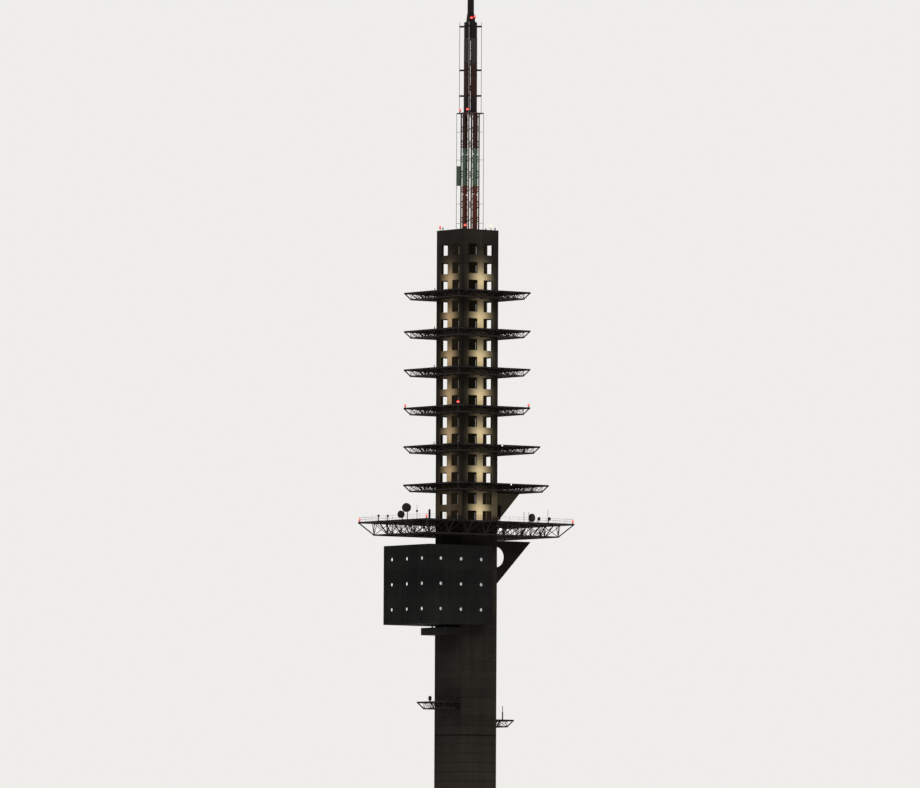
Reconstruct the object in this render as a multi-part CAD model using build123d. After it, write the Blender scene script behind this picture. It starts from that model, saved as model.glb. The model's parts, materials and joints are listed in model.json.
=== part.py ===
"""A square concrete radio mast with seven aerial platforms, at one tenth of its real size.

Lengths are millimetres of the scale model. +Z is up, and the origin is at the centre of the
foot. +X is the side with the fins, and -X the side with the operations block.
"""
from build123d import *
from math import atan2, cos, degrees, radians, sin, sqrt, tan
import os

# Shaft: a square concrete tube, closed below and pierced by openings above the lowest platform
SHAFT_SIDE = 880
WALL = 50
BASE_THICKNESS = 60
HEAD_HEIGHT = 1238
ROOF_DROP = 80
ROOF_THICKNESS = 30
FLOOR_THICKNESS = 25

# Entrance at the foot, on the -Y face
DOOR_WIDTH = 120
DOOR_HEIGHT = 230
DOOR_THICKNESS = 20
DOOR_CLEARANCE = 0.4

# Openings of the upper shaft: two columns on each face
OPENING = 225
MULLION_WIDTH = 150
UPPER_ROW_SILL = 355
TOP_ROW_SILL = 726

# Platforms, counted from the lowest one up
LOWEST_DECK = 16874
STOREY = 768
PLATFORMS = 7
DECK_THICKNESS = 20
EDGE_BEAM_DEPTH = 32
EDGE_BEAM_WIDTH = 20
REACH = 464
LOWEST_REACH_X = 1404
LOWEST_REACH_Y = 702
SECOND_REACH_EAST = 940
THIRD_REACH_EAST = 720

# Lower chord grids under the platforms
CHORD = 26
STRUT = 18
CHORD_DROP = 140
CHORD_INSET = 100
CHORD_SPACING = 402
LOWEST_CHORD_DROP = 266
LOWEST_CHORD_INSET = 230
LOWEST_CHORD_SPACING = 461

# Operations block, a hollow cube on the -X side that wraps round the shaft
BLOCK_SIDE = 1546
BLOCK_HEIGHT = 1572
BLOCK_EAST = 73
BLOCK_DROP = 484
BLOCK_WALL = 50
BLOCK_SLAB = 50
WINDOW_DIAMETER = 90
WINDOW_SIDES = 12
PANE_THICKNESS = 8
WINDOW_SPACING = 500
WINDOW_TOP_INSET = 278
WINDOW_ROWS = 3
SILL_HEIGHT = 90

# Cabin slung under the block beside the shaft
CABIN_REACH = 348
CABIN_HEIGHT = 146
CABIN_GAP = 51
CABIN_HANGER = 24

# Fins on the +X side, both on the middle plane
FIN_THICKNESS = 50
LOWER_FIN_DROP = 334
LOWER_FIN_REACH = 1158
LOWER_FIN_HEIGHT = 1180
FIN_HOLE_DIAMETER = 410
FIN_HOLE_INSET = 310
FIN_HOLE_DEPTH = 326
UPPER_FIN_FOOT_LENGTH = 280
UPPER_FIN_LEAN = 43.5

# Small balconies, this far below the block
BALCONY_REACH = 442
WEST_BALCONY_DROP = 1522
EAST_BALCONY_DROP = 1863

# Aerial mast on the roof, beside the middle on the +X side
AERIAL_OFFSET = 50
LOWER_LATTICE_HEIGHT = 2423
LATTICE_SIDE = 275
LATTICE_LEG = 20
LATTICE_BRACE = 10
LATTICE_BAYS = 8
GALLERY_SIDE = 392
GALLERY_THICKNESS = 20
UPPER_LATTICE_HEIGHT = 1510
UPPER_LATTICE_SIDE = 190
UPPER_LATTICE_BAYS = 6
DRUM_HEIGHT = 310
DRUM_DIAMETER = 262
DRUM_RIM = 36
CONE_HEIGHT = 176
TIP_DIAMETER = 130
TIP_HEIGHT = 1120
TIP_HEAD_ANGLES = (30, 55, 75)
ROUND_SIDES = 24
PANEL_WIDTH = 84
PANEL_DEPTH = 24
UPPER_PANEL_WIDTH = 120
PANEL_GAP = 60
LOWER_PANEL_ROWS = 3
UPPER_PANEL_ROWS = 2
ROD = 8
UPPER_ROD_SIDE = 320

# The one panel between the north-west leg of the lower lattice and its rod: foot above the roof, and length
CORNER_PANEL_FOOT = 1006
CORNER_PANEL_LENGTH = 350

# Heights of the arms that hold the rods, above the foot of each lattice
LOWER_ARM_HEIGHTS = (230, 619, 1500, 2060)
UPPER_ARM_HEIGHTS = (342, 857, 1735)

# Things on the decks
LAMP_PLATFORMS = (1, 4)
LAMP_DIAMETER = 40
LAMP_HEIGHT = 50
LAMP_INSET = 24
LAMP_STEM = 10
DECK_LAMP_STEM = 22
ROOF_LAMP_STEM = 45
GALLERY_LAMP_STEM = 34
GALLERY_LAMP_PLACES = (-134, 106)
EDGE_LAMP_SIZE = 20
HANGING_LAMP_DROP = 135
HANGING_LAMP_OFFSET = 80
FLOODLIGHT_WIDTH = 70
FLOODLIGHT_DEPTH = 36
FLOODLIGHT_HEIGHT = 30
FLOODLIGHT_STANDOFF = 90
POST_DIAMETER = 16
POST_SIDES = 6
PANEL_AERIAL_SIDE = 54
PANEL_AERIAL_FOOT = 150
PANEL_AERIAL_TOP = 365
PANEL_AERIAL_REACH = 305
PANEL_AERIAL_OFFSET = 120

# Dishes on the lowest deck: edge, inset from it, place along it, height of the middle, diameter, facing
DISHES = (
    ("west", 144, -324, 236, 180, 215),
    ("west", 144, -158, 108, 150, 200),
    ("south", 92, 787, 88, 165, 285),
    ("south", 92, 998, 76, 76, 300),
    ("south", 92, 1269, 92, 62, 270),
)
DISH_DEPTH_SHARE = 0.5
DISH_NECK_SHARE = 0.3
DISH_SIDES = 12

# Thin aerials on the decks: platform, edge, inset from it, place along it, height, diameter
DECK_AERIALS = (
    (1, "west", 44, 511, 118, 16),
    (1, "west", 44, 200, 107, 16),
    (1, "west", 44, -773, 270, 8),
    (1, "west", 344, -784, 200, 44),
    (1, "south", 92, 648, 202, 10),
    (1, "south", 120, 787, 206, 8),
    (1, "south", 92, 1247, 261, 8),
    (3, "west", 300, 280, 80, 16),
    (5, "west", 300, 280, 80, 16),
    (6, "west", 300, 280, 80, 16),
    (7, "west", 300, 280, 80, 16),
)

# Thin aerials on the balconies: side, inset from the outer edge, place along it, height, diameter
BALCONY_AERIALS = (
    ("west", 82, -109, 112, 24),
    ("east", 128, -230, 276, 14),
)

# Small white lamps on the -Y edge beams: platform, place along X
EDGE_LAMPS = ((3, 195), (2, 425))

# Red lamps on the roof: side, place along its wall
ROOF_LAMPS = (("west", 364), ("south", -376), ("south", 270), ("north", 376))

# Red lamps on the drum's rim: angle from +X, height of the stem
TOP_LAMPS = ((241, 60), (281, 88))

# Worked out from the sizes above
HALF_SHAFT = SHAFT_SIDE / 2
HALF_INSIDE = HALF_SHAFT - WALL
PIER_WIDTH = (SHAFT_SIDE - 2 * OPENING - MULLION_WIDTH) / 2
DECK_TOPS = [LOWEST_DECK + STOREY * i for i in range(PLATFORMS)]
ROOF_EDGE = DECK_TOPS[-1] + HEAD_HEIGHT
ROOF_TOP = ROOF_EDGE - ROOF_DROP
BLOCK_TOP = LOWEST_DECK - BLOCK_DROP
BLOCK_BOTTOM = BLOCK_TOP - BLOCK_HEIGHT
BLOCK_WEST = BLOCK_EAST - BLOCK_SIDE
HALF_BLOCK = BLOCK_SIDE / 2
WEST_BALCONY_DECK = BLOCK_BOTTOM - WEST_BALCONY_DROP
EAST_BALCONY_DECK = BLOCK_BOTTOM - EAST_BALCONY_DROP
LOWER_FIN_TOP = LOWEST_DECK - LOWER_FIN_DROP
GALLERY_TOP = ROOF_TOP + LOWER_LATTICE_HEIGHT + GALLERY_THICKNESS
DRUM_BOTTOM = GALLERY_TOP + UPPER_LATTICE_HEIGHT
DRUM_TOP = DRUM_BOTTOM + DRUM_HEIGHT
CONE_TOP = DRUM_TOP + CONE_HEIGHT
TIP_TOP = CONE_TOP + TIP_HEIGHT
HIGH = 2 * TIP_TOP
ROW_SILLS = [top + rise for top in DECK_TOPS for rise in (0, UPPER_ROW_SILL)]
ROW_SILLS.append(DECK_TOPS[-1] + TOP_ROW_SILL)
SIDES = {"east": 0, "north": 90, "west": 180, "south": 270}


def block(low, high):
    """A box between two opposite corners."""
    size = [b - a for a, b in zip(low, high)]
    middle = [(a + b) / 2 for a, b in zip(low, high)]
    return Pos(*middle) * Box(*size)


def bar(start, end, side):
    """A square bar between two points."""
    run = Vector(*end) - Vector(*start)
    return extrude(Plane(origin=start, z_dir=run) * Rectangle(side, side), run.length)


def rod(diameter, length, sides):
    """A many-sided round bar standing on the ground plane."""
    return extrude(RegularPolygon(diameter / 2, sides), length)


def cone(foot, head, height, sides):
    """A many-sided cone between two diameters, standing on the ground plane."""
    taper = degrees(atan2((foot - head) / 2, height))
    return extrude(RegularPolygon(foot / 2, sides), height, taper=taper)


def post(x, y, low, high, diameter):
    """A thin upright."""
    return Pos(x, y, low) * rod(diameter, high - low, POST_SIDES)


def turned(shape, side):
    """A piece made for the +X side, turned about the shaft to another side."""
    return Rot(0, 0, SIDES[side]) * shape


def fused(pieces):
    """One solid from pieces that meet."""
    return pieces[0].fuse(*pieces[1:])


def shaft_hole(low, high):
    """The shaft's outline, to be cut out of what surrounds it."""
    return block((-HALF_SHAFT, -HALF_SHAFT, low), (HALF_SHAFT, HALF_SHAFT, high))


def write(name, shape):
    """Writes one piece to its own file."""
    solids = shape if isinstance(shape, list) else [shape]
    solids = [solid for item in solids for solid in item.solids()]
    export_step(Compound(children=solids), f"parts/{name}.step")
    print(name, len(solids))


def shaft_walls():
    """Closed walls from the base slab up to the lowest deck."""
    low, high = BASE_THICKNESS, LOWEST_DECK
    across = block((-HALF_SHAFT, HALF_INSIDE, low), (HALF_SHAFT, HALF_SHAFT, high))
    between = block((HALF_INSIDE, -HALF_INSIDE, low), (HALF_SHAFT, HALF_INSIDE, high))
    doorway = block((-DOOR_WIDTH / 2, -HALF_SHAFT, low), (DOOR_WIDTH / 2, -HALF_INSIDE, low + DOOR_HEIGHT))
    write("shaft_wall_north", across)
    write("shaft_wall_south", Rot(0, 0, 180) * across - doorway)
    write("shaft_wall_east", between)
    write("shaft_wall_west", Rot(0, 0, 180) * between)


def entrance_door():
    """A plain leaf set back in its doorway."""
    half = DOOR_WIDTH / 2 - DOOR_CLEARANCE
    middle = -(HALF_SHAFT + HALF_INSIDE) / 2
    front, back = middle - DOOR_THICKNESS / 2, middle + DOOR_THICKNESS / 2
    return block((-half, front, BASE_THICKNESS), (half, back, BASE_THICKNESS + DOOR_HEIGHT - DOOR_CLEARANCE))


def base_slab():
    """The slab that closes the foot of the shaft."""
    return block((-HALF_SHAFT, -HALF_SHAFT, 0), (HALF_SHAFT, HALF_SHAFT, BASE_THICKNESS))


def corner_piers():
    """The angle-shaped corners of the pierced shaft, each from a slab on either face."""
    near = HALF_SHAFT - PIER_WIDTH
    across = block((near, HALF_INSIDE, LOWEST_DECK), (HALF_SHAFT, HALF_SHAFT, ROOF_EDGE))
    between = block((HALF_INSIDE, near, LOWEST_DECK), (HALF_SHAFT, HALF_INSIDE, ROOF_EDGE))
    for name, slab in (("corner_piers_north_south", across), ("corner_piers_east_west", between)):
        pair = [slab, mirror(slab, Plane.XZ)]
        write(name, pair + [mirror(piece, Plane.YZ) for piece in pair])


def mullions():
    """The four uprights between the two columns of openings."""
    half = MULLION_WIDTH / 2
    upright = block((HALF_INSIDE, -half, LOWEST_DECK), (HALF_SHAFT, half, ROOF_EDGE))
    return [turned(upright, side) for side in SIDES]


def wall_panels(side):
    """The wall between one row of openings and the next, on one face."""
    panels = []
    near = MULLION_WIDTH / 2
    for sill, above in zip(ROW_SILLS, ROW_SILLS[1:] + [ROOF_EDGE]):
        panel = block((HALF_INSIDE, near, sill + OPENING), (HALF_SHAFT, near + OPENING, above))
        panels += [panel, mirror(panel, Plane.XZ)]
    return [turned(panel, side) for panel in panels]


def shaft_floors():
    """A floor at the sill of every row of openings."""
    return [
        block((-HALF_INSIDE, -HALF_INSIDE, sill - FLOOR_THICKNESS), (HALF_INSIDE, HALF_INSIDE, sill))
        for sill in ROW_SILLS
    ]


def roof_slab():
    """The roof, set down behind the top of the walls."""
    low = (-HALF_INSIDE, -HALF_INSIDE, ROOF_TOP - ROOF_THICKNESS)
    return block(low, (HALF_INSIDE, HALF_INSIDE, ROOF_TOP))


def deck_edges(level):
    """West, east and half width of a deck, counted from the lowest as 0."""
    if level == 0:
        return -HALF_SHAFT - LOWEST_REACH_X, HALF_SHAFT + LOWEST_REACH_X, HALF_SHAFT + LOWEST_REACH_Y
    own_east = (LOWEST_REACH_X, SECOND_REACH_EAST, THIRD_REACH_EAST)
    east = own_east[level] if level < len(own_east) else REACH
    return -HALF_SHAFT - REACH, HALF_SHAFT + east, HALF_SHAFT + REACH


def deck_place(level, edge, inset, along):
    """A place on a deck, so far in from an edge and so far along it from the middle."""
    west, east, half = deck_edges(level)
    return {
        "west": (west + inset, along),
        "east": (east - inset, along),
        "south": (along, inset - half),
        "north": (along, half - inset),
    }[edge]


def deck_plate(west, east, south, north, top):
    """A deck with a beam round its edge."""
    beam = EDGE_BEAM_WIDTH
    plate = block((west, south, top - DECK_THICKNESS), (east, north, top))
    rim = block((west, south, top - EDGE_BEAM_DEPTH), (east, north, top - DECK_THICKNESS))
    inside = block(
        (west + beam, south + beam, top - EDGE_BEAM_DEPTH), (east - beam, north - beam, top - DECK_THICKNESS)
    )
    return fused([plate, rim - inside])


def deck(level):
    """One platform's deck, round the shaft."""
    west, east, half = deck_edges(level)
    top = DECK_TOPS[level]
    return deck_plate(west, east, -half, half, top) - shaft_hole(top - EDGE_BEAM_DEPTH, top)


def spread(low, high, spacing):
    """Evenly spaced places from low to high, about a spacing apart."""
    bays = max(1, round((high - low) / spacing))
    return [low + (high - low) * i / bays for i in range(bays + 1)]


def chord_grid(lines_x, lines_y, level_z):
    """Crossing chords on one level."""
    half = CHORD / 2
    ends_x = (lines_x[0] - half, lines_x[-1] + half)
    ends_y = (lines_y[0] - half, lines_y[-1] + half)
    low, high = level_z - half, level_z + half
    bars = [block((x - half, ends_y[0], low), (x + half, ends_y[1], high)) for x in lines_x]
    bars += [block((ends_x[0], y - half, low), (ends_x[1], y + half, high)) for y in lines_y]
    return bars


def edge_struts(lines_x, lines_y, level_z, edges, top):
    """Slanting struts from the outer chords to the deck's edge beam."""
    west, east, south, north = edges
    inside = EDGE_BEAM_WIDTH
    seat = top - EDGE_BEAM_DEPTH
    across = {lines_x[0]: west + inside, lines_x[-1]: east - inside}
    along = {lines_y[0]: south + inside, lines_y[-1]: north - inside}
    struts = []
    for x in lines_x:
        for y in lines_y:
            if x in across or y in along:
                end = Vector(across.get(x, x), along.get(y, y), seat)
                start = Vector(x, y, level_z)
                end += (end - start).normalized() * STRUT
                struts.append(bar(tuple(start), tuple(end), STRUT))
    return struts


def chord_frame(lines_x, lines_y, edges, top, drop):
    """The lower chords of one platform with their struts, cut clear of the shaft and the deck."""
    level_z = top - drop
    frame = fused(
        chord_grid(lines_x, lines_y, level_z) + edge_struts(lines_x, lines_y, level_z, edges, top)
    )
    frame -= shaft_hole(level_z - CHORD, top)
    return frame & block((-HIGH, -HIGH, level_z - CHORD), (HIGH, HIGH, top - EDGE_BEAM_DEPTH))


def platform_frame(level):
    """The chord frame under one of the seven platforms."""
    west, east, half = deck_edges(level)
    edges = (west, east, -half, half)
    top = DECK_TOPS[level]
    if level == 0:
        inset, spacing, drop = LOWEST_CHORD_INSET, LOWEST_CHORD_SPACING, LOWEST_CHORD_DROP
        lines_x = spread(west + inset, east - inset, spacing)
    else:
        inset, spacing, drop = CHORD_INSET, CHORD_SPACING, CHORD_DROP
        lines_x = spread(west + inset, -west - inset, spacing)
        if east > -west:
            lines_x = lines_x[:-1] + spread(-west - inset, east - inset, spacing)
    lines_y = spread(-half + inset, half - inset, spacing)
    return chord_frame(lines_x, lines_y, edges, top, drop)


def side_of(frame, side):
    """The part of a frame that stands off one face of the shaft."""
    regions = {
        "west": block((-HIGH, -HIGH, 0), (-HALF_SHAFT, HIGH, HIGH)),
        "east": block((HALF_SHAFT, -HIGH, 0), (HIGH, HIGH, HIGH)),
        "south": block((-HALF_SHAFT, -HIGH, 0), (HALF_SHAFT, -HALF_SHAFT, HIGH)),
        "north": block((-HALF_SHAFT, HALF_SHAFT, 0), (HALF_SHAFT, HIGH, HIGH)),
    }
    return frame & regions[side]


def balcony(top):
    """A balcony on the +X face, with the chord frame that carries it."""
    outer = HALF_SHAFT + BALCONY_REACH
    edges = (HALF_SHAFT - 2 * CHORD_INSET, outer, -HALF_SHAFT, HALF_SHAFT)
    plate = deck_plate(HALF_SHAFT - WALL, outer, -HALF_SHAFT, HALF_SHAFT, top)
    lines_x = [HALF_SHAFT - CHORD_INSET, outer - CHORD_INSET]
    lines_y = spread(-HALF_SHAFT + CHORD_INSET, HALF_SHAFT - CHORD_INSET, CHORD_SPACING)
    frame = chord_frame(lines_x, lines_y, edges, top, CHORD_DROP)
    return fused([plate - shaft_hole(top - EDGE_BEAM_DEPTH, top), side_of(frame, "east")])


def window_places():
    """Centres along a wall and heights of the block's windows."""
    first = (BLOCK_SIDE - WINDOW_SPACING * (WINDOW_ROWS - 1)) / 2
    along = [first + WINDOW_SPACING * i for i in range(WINDOW_ROWS)]
    up = [BLOCK_TOP - WINDOW_TOP_INSET - WINDOW_SPACING * i for i in range(WINDOW_ROWS)]
    return along, up


def window_disc(x, y, z, along_x, depth, diameter):
    """A round plug through a wall, lying along X or along Y."""
    turn = Rot(0, 90, 0) if along_x else Rot(90, 0, 0)
    return Pos(x, y, z) * turn * Pos(0, 0, -depth / 2) * rod(diameter, depth, WINDOW_SIDES)


def block_window_discs(depth, diameter):
    """Discs at every window, by wall."""
    along, up = window_places()
    inner = BLOCK_WALL / 2
    strip = (HALF_SHAFT + HALF_BLOCK) / 2
    discs = {"west": [], "south": [], "north": [], "east": []}
    for z in up:
        for run in along:
            discs["west"].append(window_disc(BLOCK_WEST + inner, run - HALF_BLOCK, z, True, depth, diameter))
            for side, y in (("south", inner - HALF_BLOCK), ("north", HALF_BLOCK - inner)):
                discs[side].append(window_disc(BLOCK_WEST + run, y, z, False, depth, diameter))
        for y in (-strip, strip):
            discs["east"].append(window_disc(BLOCK_EAST - inner, y, z, True, depth, diameter))
    return discs


def block_walls():
    """The block's walls with their round window holes."""
    holes = block_window_discs(2 * BLOCK_WALL, WINDOW_DIAMETER)
    low, high = BLOCK_BOTTOM + BLOCK_SLAB, BLOCK_TOP - BLOCK_SLAB
    inside = HALF_BLOCK - BLOCK_WALL
    west = block((BLOCK_WEST, -inside, low), (BLOCK_WEST + BLOCK_WALL, inside, high))
    north = block((BLOCK_WEST, inside, low), (BLOCK_EAST, HALF_BLOCK, high))
    south = mirror(north, Plane.XZ)
    east_north = block((BLOCK_EAST - BLOCK_WALL, HALF_SHAFT, low), (BLOCK_EAST, inside, high))
    east = [east_north, mirror(east_north, Plane.XZ)]
    write("block_wall_west", west - holes["west"])
    write("block_wall_north", north - holes["north"])
    write("block_wall_south", south - holes["south"])
    write("block_walls_east", [wall - holes["east"] for wall in east])


def block_slab(bottom, thickness, margin):
    """A slab across the block, round the shaft."""
    low = (BLOCK_WEST + margin, -HALF_BLOCK + margin, bottom)
    high = (BLOCK_EAST - margin, HALF_BLOCK - margin, bottom + thickness)
    return block(low, high) - shaft_hole(bottom, bottom + thickness)


def block_floors():
    """The two floors between the window rows."""
    up = window_places()[1]
    below_sill = SILL_HEIGHT + WINDOW_DIAMETER / 2 + FLOOR_THICKNESS
    return [block_slab(z - below_sill, FLOOR_THICKNESS, BLOCK_WALL) for z in up[:-1]]


def window_panes():
    """Glass in every round window."""
    discs = block_window_discs(PANE_THICKNESS, WINDOW_DIAMETER)
    return [disc for side in discs.values() for disc in side]


def cabin():
    """The cabin under the block, with the hangers that hold it."""
    top = BLOCK_BOTTOM - CABIN_GAP
    outer = -HALF_SHAFT - CABIN_REACH
    body = block((outer, -HALF_SHAFT, top - CABIN_HEIGHT), (-HALF_SHAFT, HALF_SHAFT, top))
    half = CABIN_HANGER / 2
    hangers = []
    for x in (outer + CABIN_REACH / 3, -HALF_SHAFT - CABIN_REACH / 4):
        for y in (-HALF_SHAFT / 2, HALF_SHAFT / 2):
            hangers.append(block((x - half, y - half, top), (x + half, y + half, BLOCK_BOTTOM)))
    return fused([body] + hangers)


def lower_fin():
    """A three-cornered plate with a round hole, under the lowest platform."""
    face, top = HALF_SHAFT, LOWER_FIN_TOP
    outline = Polyline((face, top), (face + LOWER_FIN_REACH, top), (face, top - LOWER_FIN_HEIGHT), close=True)
    plate = extrude(Plane.XZ * make_face(outline), FIN_THICKNESS / 2, both=True)
    hole = Pos(face + FIN_HOLE_INSET, 0, top - FIN_HOLE_DEPTH) * Rot(90, 0, 0)
    return plate - hole * Cylinder(FIN_HOLE_DIAMETER / 2, 2 * FIN_THICKNESS)


def upper_fin():
    """A slanting plate between the lowest deck and the platform above."""
    face, foot = HALF_SHAFT, LOWEST_DECK
    head = DECK_TOPS[1] - CHORD_DROP - CHORD / 2
    end = face + UPPER_FIN_FOOT_LENGTH
    lean = (head - foot) * tan(radians(UPPER_FIN_LEAN))
    outline = Polyline((face, foot), (end, foot), (end + lean, head), (face, head), close=True)
    return extrude(Plane.XZ * make_face(outline), FIN_THICKNESS / 2, both=True)


def lattice(side, low, high, bays):
    """A square lattice tower of legs, rungs and zigzag braces."""
    leg, brace = LATTICE_LEG, LATTICE_BRACE
    half = side / 2
    reach = half - leg / 2
    parts = []
    for x in (-reach, reach):
        for y in (-reach, reach):
            parts.append(block((x - leg / 2, y - leg / 2, low), (x + leg / 2, y + leg / 2, high)))
    step = (high - low) / bays
    flush = half - brace / 2
    face = []
    for i in range(bays):
        z = low + step * i
        ends = (-reach, reach) if i % 2 == 0 else (reach, -reach)
        face.append(bar((flush, ends[0], z + brace), (flush, ends[1], z + step - brace), brace))
        if i:
            face.append(block((half - brace, -reach, z - brace / 2), (half, reach, z + brace / 2)))
    parts += [Rot(0, 0, angle) * piece for angle in SIDES.values() for piece in face]
    return Pos(AERIAL_OFFSET, 0, 0) * fused(parts)


def gallery():
    """The plate between the two lattices."""
    half = GALLERY_SIDE / 2
    low = (AERIAL_OFFSET - half, -half, GALLERY_TOP - GALLERY_THICKNESS)
    return block(low, (AERIAL_OFFSET + half, half, GALLERY_TOP))


def drum():
    """The drum that closes the upper lattice, with the cone inside its rim."""
    body = Pos(AERIAL_OFFSET, 0, DRUM_BOTTOM) * rod(DRUM_DIAMETER, DRUM_HEIGHT, ROUND_SIDES)
    cap = cone(DRUM_DIAMETER - 2 * DRUM_RIM, TIP_DIAMETER, CONE_HEIGHT, ROUND_SIDES)
    return fused([body, Pos(AERIAL_OFFSET, 0, DRUM_TOP) * cap])


def aerial_tip():
    """The round-headed cylinder at the top."""
    radius = TIP_DIAMETER / 2
    centre = TIP_TOP - radius
    pieces = [Pos(AERIAL_OFFSET, 0, CONE_TOP) * rod(TIP_DIAMETER, centre - CONE_TOP, ROUND_SIDES)]
    angles = [radians(angle) for angle in (0,) + TIP_HEAD_ANGLES]
    rings = [(2 * radius * cos(angle), centre + radius * sin(angle)) for angle in angles]
    for (foot, low), (head, high) in zip(rings, rings[1:]):
        pieces.append(Pos(AERIAL_OFFSET, 0, low) * cone(foot, head, high - low, ROUND_SIDES))
    return fused(pieces)


def aerial_panels(side, low, high, count, width):
    """Flat aerial panels on the four faces of a lattice."""
    pitch = (high - low) / count
    panels = []
    for i in range(count):
        base = low + pitch * i + PANEL_GAP / 2
        panel = block(
            (side / 2, -width / 2, base), (side / 2 + PANEL_DEPTH, width / 2, base + pitch - PANEL_GAP)
        )
        panels += [Pos(AERIAL_OFFSET, 0, 0) * Rot(0, 0, angle) * panel for angle in SIDES.values()]
    return panels


def corner_panel():
    """The panel between one leg of the lower lattice and the rod off that corner."""
    start, end = LATTICE_SIDE / sqrt(2), (GALLERY_SIDE - 2 * ROD) / sqrt(2)
    low = ROOF_TOP + CORNER_PANEL_FOOT
    panel = block((start, -PANEL_DEPTH / 2, low), (end, PANEL_DEPTH / 2, low + CORNER_PANEL_LENGTH))
    return Pos(AERIAL_OFFSET, 0, 0) * Rot(0, 0, 135) * panel


def corner_rods(rod_side, lattice_side, low, high, arm_heights):
    """Four upright rods off the lattice corners, each held by short arms."""
    place = (rod_side - ROD) / 2
    corner = lattice_side / 2
    upright = block((place - ROD / 2, place - ROD / 2, low), (place + ROD / 2, place + ROD / 2, high))
    start = corner - LATTICE_LEG / 2
    arms = [bar((start, start, low + rise), (place, place, low + rise), ROD) for rise in arm_heights]
    keep_out = block((-HIGH, -HIGH, low), (corner, corner, high))
    drum_room = Pos(0, 0, DRUM_BOTTOM) * rod(DRUM_DIAMETER, DRUM_HEIGHT, ROUND_SIDES)
    comb = fused([upright] + arms) - keep_out - drum_room
    return [Pos(AERIAL_OFFSET, 0, 0) * Rot(0, 0, angle) * comb for angle in SIDES.values()]


def lamp(x, y, foot, stem):
    """One lamp on its stem."""
    base = foot + stem
    return fused([post(x, y, foot, base, LAMP_STEM), post(x, y, base, base + LAMP_HEIGHT, LAMP_DIAMETER)])


def obstruction_lamps():
    """Red lamps on the corners of two platforms and the roof, on the gallery and at the top."""
    lamps = []
    inset = LAMP_INSET
    for platform in LAMP_PLATFORMS:
        west, east, half = deck_edges(platform - 1)
        for x in (west + inset, east - inset):
            for y in (-half + inset, half - inset):
                lamps.append(lamp(x, y, DECK_TOPS[platform - 1], DECK_LAMP_STEM))
    wall = HALF_SHAFT - WALL / 2
    for side, along in ROOF_LAMPS:
        x, y = {"west": (-wall, along), "south": (along, -wall), "north": (along, wall)}[side]
        lamps.append(lamp(x, y, ROOF_EDGE, ROOF_LAMP_STEM))
    for y in GALLERY_LAMP_PLACES:
        lamps.append(lamp(AERIAL_OFFSET - GALLERY_SIDE / 2 + inset, y, GALLERY_TOP, GALLERY_LAMP_STEM))
    ring = DRUM_DIAMETER / 2 - DRUM_RIM / 2
    for angle, stem in TOP_LAMPS:
        x, y = AERIAL_OFFSET + ring * cos(radians(angle)), ring * sin(radians(angle))
        lamps.append(lamp(x, y, DRUM_TOP, stem))
    return lamps


def white_lamps():
    """Small white lamps on two edge beams, and one hanging under the lowest deck beside the shaft."""
    lamps = []
    side = EDGE_LAMP_SIZE
    for platform, x in EDGE_LAMPS:
        face = -deck_edges(platform - 1)[2]
        middle = DECK_TOPS[platform - 1] - EDGE_BEAM_DEPTH + side / 2
        lamps.append(Pos(x, face - side / 2, middle) * Box(side, side, side))
    x, ceiling = HALF_SHAFT + HANGING_LAMP_OFFSET, LOWEST_DECK - DECK_THICKNESS
    foot = ceiling - HANGING_LAMP_DROP
    glass = post(x, -HALF_SHAFT, foot, foot + LAMP_HEIGHT, LAMP_DIAMETER)
    lamps.append(fused([post(x, -HALF_SHAFT, foot, ceiling, LAMP_STEM), glass]))
    return lamps


def floodlights():
    """Small floodlights on the decks, one before the middle of each face."""
    lights = []
    half = FLOODLIGHT_WIDTH / 2
    near = HALF_SHAFT + FLOODLIGHT_STANDOFF
    for top in DECK_TOPS:
        box = block((near, -half, top), (near + FLOODLIGHT_DEPTH, half, top + FLOODLIGHT_HEIGHT))
        sides = [side for side in SIDES if not (side == "east" and top == LOWEST_DECK)]
        lights += [turned(box, side) for side in sides]
    return lights


def dish(edge, inset, along, height, diameter, facing):
    """A drum-shaped dish on a short post on the lowest deck."""
    x, y = deck_place(0, edge, inset, along)
    half_depth = diameter * DISH_DEPTH_SHARE / 2
    back = Rot(180, 0, 0) * cone(diameter, diameter * DISH_NECK_SHARE, half_depth, DISH_SIDES)
    drum_shape = Pos(0, 0, half_depth) * fused([back, rod(diameter, half_depth, DISH_SIDES)])
    aimed = Pos(x, y, LOWEST_DECK + height) * Rot(0, 0, facing) * Rot(0, 90, 0) * drum_shape
    return fused([post(x, y, LOWEST_DECK, LOWEST_DECK + height + diameter / 4, POST_DIAMETER), aimed])


def dishes():
    """Every dish on the lowest deck."""
    return [dish(*place) for place in DISHES]


def panel_aerial():
    """A panel on a pole, in front of the upper fin's foot."""
    x, y = HALF_SHAFT + PANEL_AERIAL_REACH, -PANEL_AERIAL_OFFSET
    half = PANEL_AERIAL_SIDE / 2
    low, high = LOWEST_DECK + PANEL_AERIAL_FOOT, LOWEST_DECK + PANEL_AERIAL_TOP
    panel = block((x - half, y - half, low), (x + half, y + half, high))
    return fused([post(x, y, LOWEST_DECK, high, POST_DIAMETER), panel])


def deck_aerials():
    """Thin upright aerials on the decks and the balconies, and the panel on its pole."""
    aerials = [panel_aerial()]
    for platform, edge, inset, along, height, diameter in DECK_AERIALS:
        base = DECK_TOPS[platform - 1]
        aerials.append(post(*deck_place(platform - 1, edge, inset, along), base, base + height, diameter))
    for side, inset, along, height, diameter in BALCONY_AERIALS:
        base = WEST_BALCONY_DECK if side == "west" else EAST_BALCONY_DECK
        upright = post(HALF_SHAFT + BALCONY_REACH - inset, along, base, base + height, diameter)
        aerials.append(turned(upright, side))
    return aerials


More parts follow.
